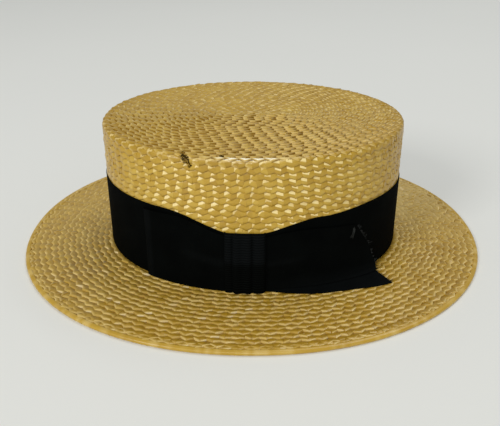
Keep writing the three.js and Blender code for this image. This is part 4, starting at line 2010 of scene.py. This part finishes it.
    def build(
        self, grosgrain: bpy.types.Material, knot_ribbon: bpy.types.Material, thread: bpy.types.Material
    ) -> list[bpy.types.Object]:
        """Builds the bow.

        Args:
            grosgrain: the finish of the loop and the tail.
            knot_ribbon: the finish of the knot.
            thread: the finish of the frayed threads.

        Returns:
            The pieces.
        """
        loop, tail, knot = self.loop(), self.tail(), self.knot()
        frays, fringe = self.frays(), self.fringe()
        hand_over(fringe, Slot.RIBBON, grosgrain, "bow_tail")
        hand_over(frays, Slot.RIBBON, thread, "bow_tail")
        hand_over(loop, Slot.RIBBON, grosgrain, "bow_loop")
        hand_over(tail, Slot.RIBBON, grosgrain, "bow_tail")
        hand_over(knot, Slot.RIBBON, knot_ribbon, "bow_knot")
        return [loop, tail, knot, frays, fringe]


# The studio


@dataclass(frozen=True)
class SoftLight:
    """One soft light panel."""

    name: str
    place: tuple[float, float, float]
    aim: tuple[float, float, float]
    size: tuple[float, float]
    power: float
    colour: tuple[float, float, float] = (1.0, 1.0, 1.0)

    def hang(self) -> bpy.types.Object:
        """Hangs the panel and turns it to what it lights.

        Returns:
            The light.
        """
        deselect()
        bpy.ops.object.light_add(type="AREA", location=self.place)
        lamp = bpy.context.active_object
        lamp.name = self.name
        lamp.data.shape = "RECTANGLE"
        lamp.data.size, lamp.data.size_y = self.size
        lamp.data.energy = self.power
        lamp.data.color = self.colour
        way = np.array(self.aim) - np.array(self.place)
        flat = math.hypot(way[0], way[1])
        lamp.rotation_euler = (math.atan2(flat, -way[2]), 0.0, math.atan2(way[0], -way[1]) + math.pi)
        return lamp


@dataclass
class Studio:
    """A pale floor, soft light and the camera."""

    camera_place: tuple[float, float, float] = (0.00087, -0.3866, 0.2145)
    camera_drop: float = 29.02
    lens: float = 42.72
    shift: tuple[float, float] = (-0.0062, 0.0303)
    sky: tuple[float, float, float] = (0.80, 0.81, 0.80)
    sky_strength: float = 0.42

    lights = (
        SoftLight("window", (-2.0, -2.15, 1.75), (0.0, -0.05, 0.05), (1.0, 1.0), 35.5, (1.0, 0.99, 0.97)),
        SoftLight("front_window", (-0.1, -2.9, 2.2), (0.0, -0.05, 0.05), (1.0, 0.8), 36.0, (1.0, 0.99, 0.97)),
        SoftLight("ceiling", (0.9, 1.0, 2.6), (0.1, 0.2, 0.0), (1.6, 1.6), 22.0, (1.0, 1.0, 1.0)),
    )

    def build(self) -> None:
        """Sets the floor, the lights, the air and the camera."""
        deselect()
        bpy.ops.mesh.primitive_plane_add(size=16.0, location=(0.0, 0.0, 0.0))
        floor = added("floor")
        bpy.ops.object.mode_set(mode="EDIT")
        bpy.ops.mesh.subdivide(number_cuts=3)
        bpy.ops.object.mode_set(mode="OBJECT")
        floor.data.materials.append(FloorFinish().make())
        for light in self.lights:
            light.hang()
        world = bpy.data.worlds.new("air")
        world.use_nodes = True
        background = world.node_tree.nodes["Background"]
        background.inputs["Color"].default_value = (*self.sky, 1.0)
        background.inputs["Strength"].default_value = self.sky_strength
        bpy.context.scene.world = world
        deselect()
        bpy.ops.object.camera_add(
            location=self.camera_place, rotation=(math.radians(90.0 - self.camera_drop), 0.0, 0.0)
        )
        camera = bpy.context.active_object
        camera.name = "camera"
        camera.data.sensor_width = 36.0
        camera.data.lens = self.lens
        camera.data.shift_x, camera.data.shift_y = self.shift
        camera.data.clip_start = 0.01
        bpy.context.scene.camera = camera
        bpy.context.scene.view_settings.view_transform = "Standard"


def main() -> None:
    """Builds the hat, piece by piece, and the studio."""
    logging.basicConfig(level=logging.INFO, format="%(name)s: %(message)s")
    block = HatBlock()
    crown = Crown(block)
    straw = StrawFinish(breaks=crown.spots()).make()
    grosgrain = RibbonFinish("black_grosgrain").make()
    knot_ribbon = RibbonFinish("black_grosgrain_knot", rib=1.75, rib_share=0.8).make()
    thread = RibbonFinish("frayed_thread", colour=(0.03, 0.032, 0.030)).make()
    way = RibbonWay(block)
    pieces = crown.build(straw)
    pieces += Brim(block).build(straw)
    pieces.append(HatBand(way).build(grosgrain))
    pieces += Bow(way).build(grosgrain, knot_ribbon, thread)
    for piece in pieces:
        piece.data.calc_loop_triangles()
        log.info("%s: %d triangles", piece.name, len(piece.data.loop_triangles))
    Studio().build()


if __name__ == "__main__":
    main()
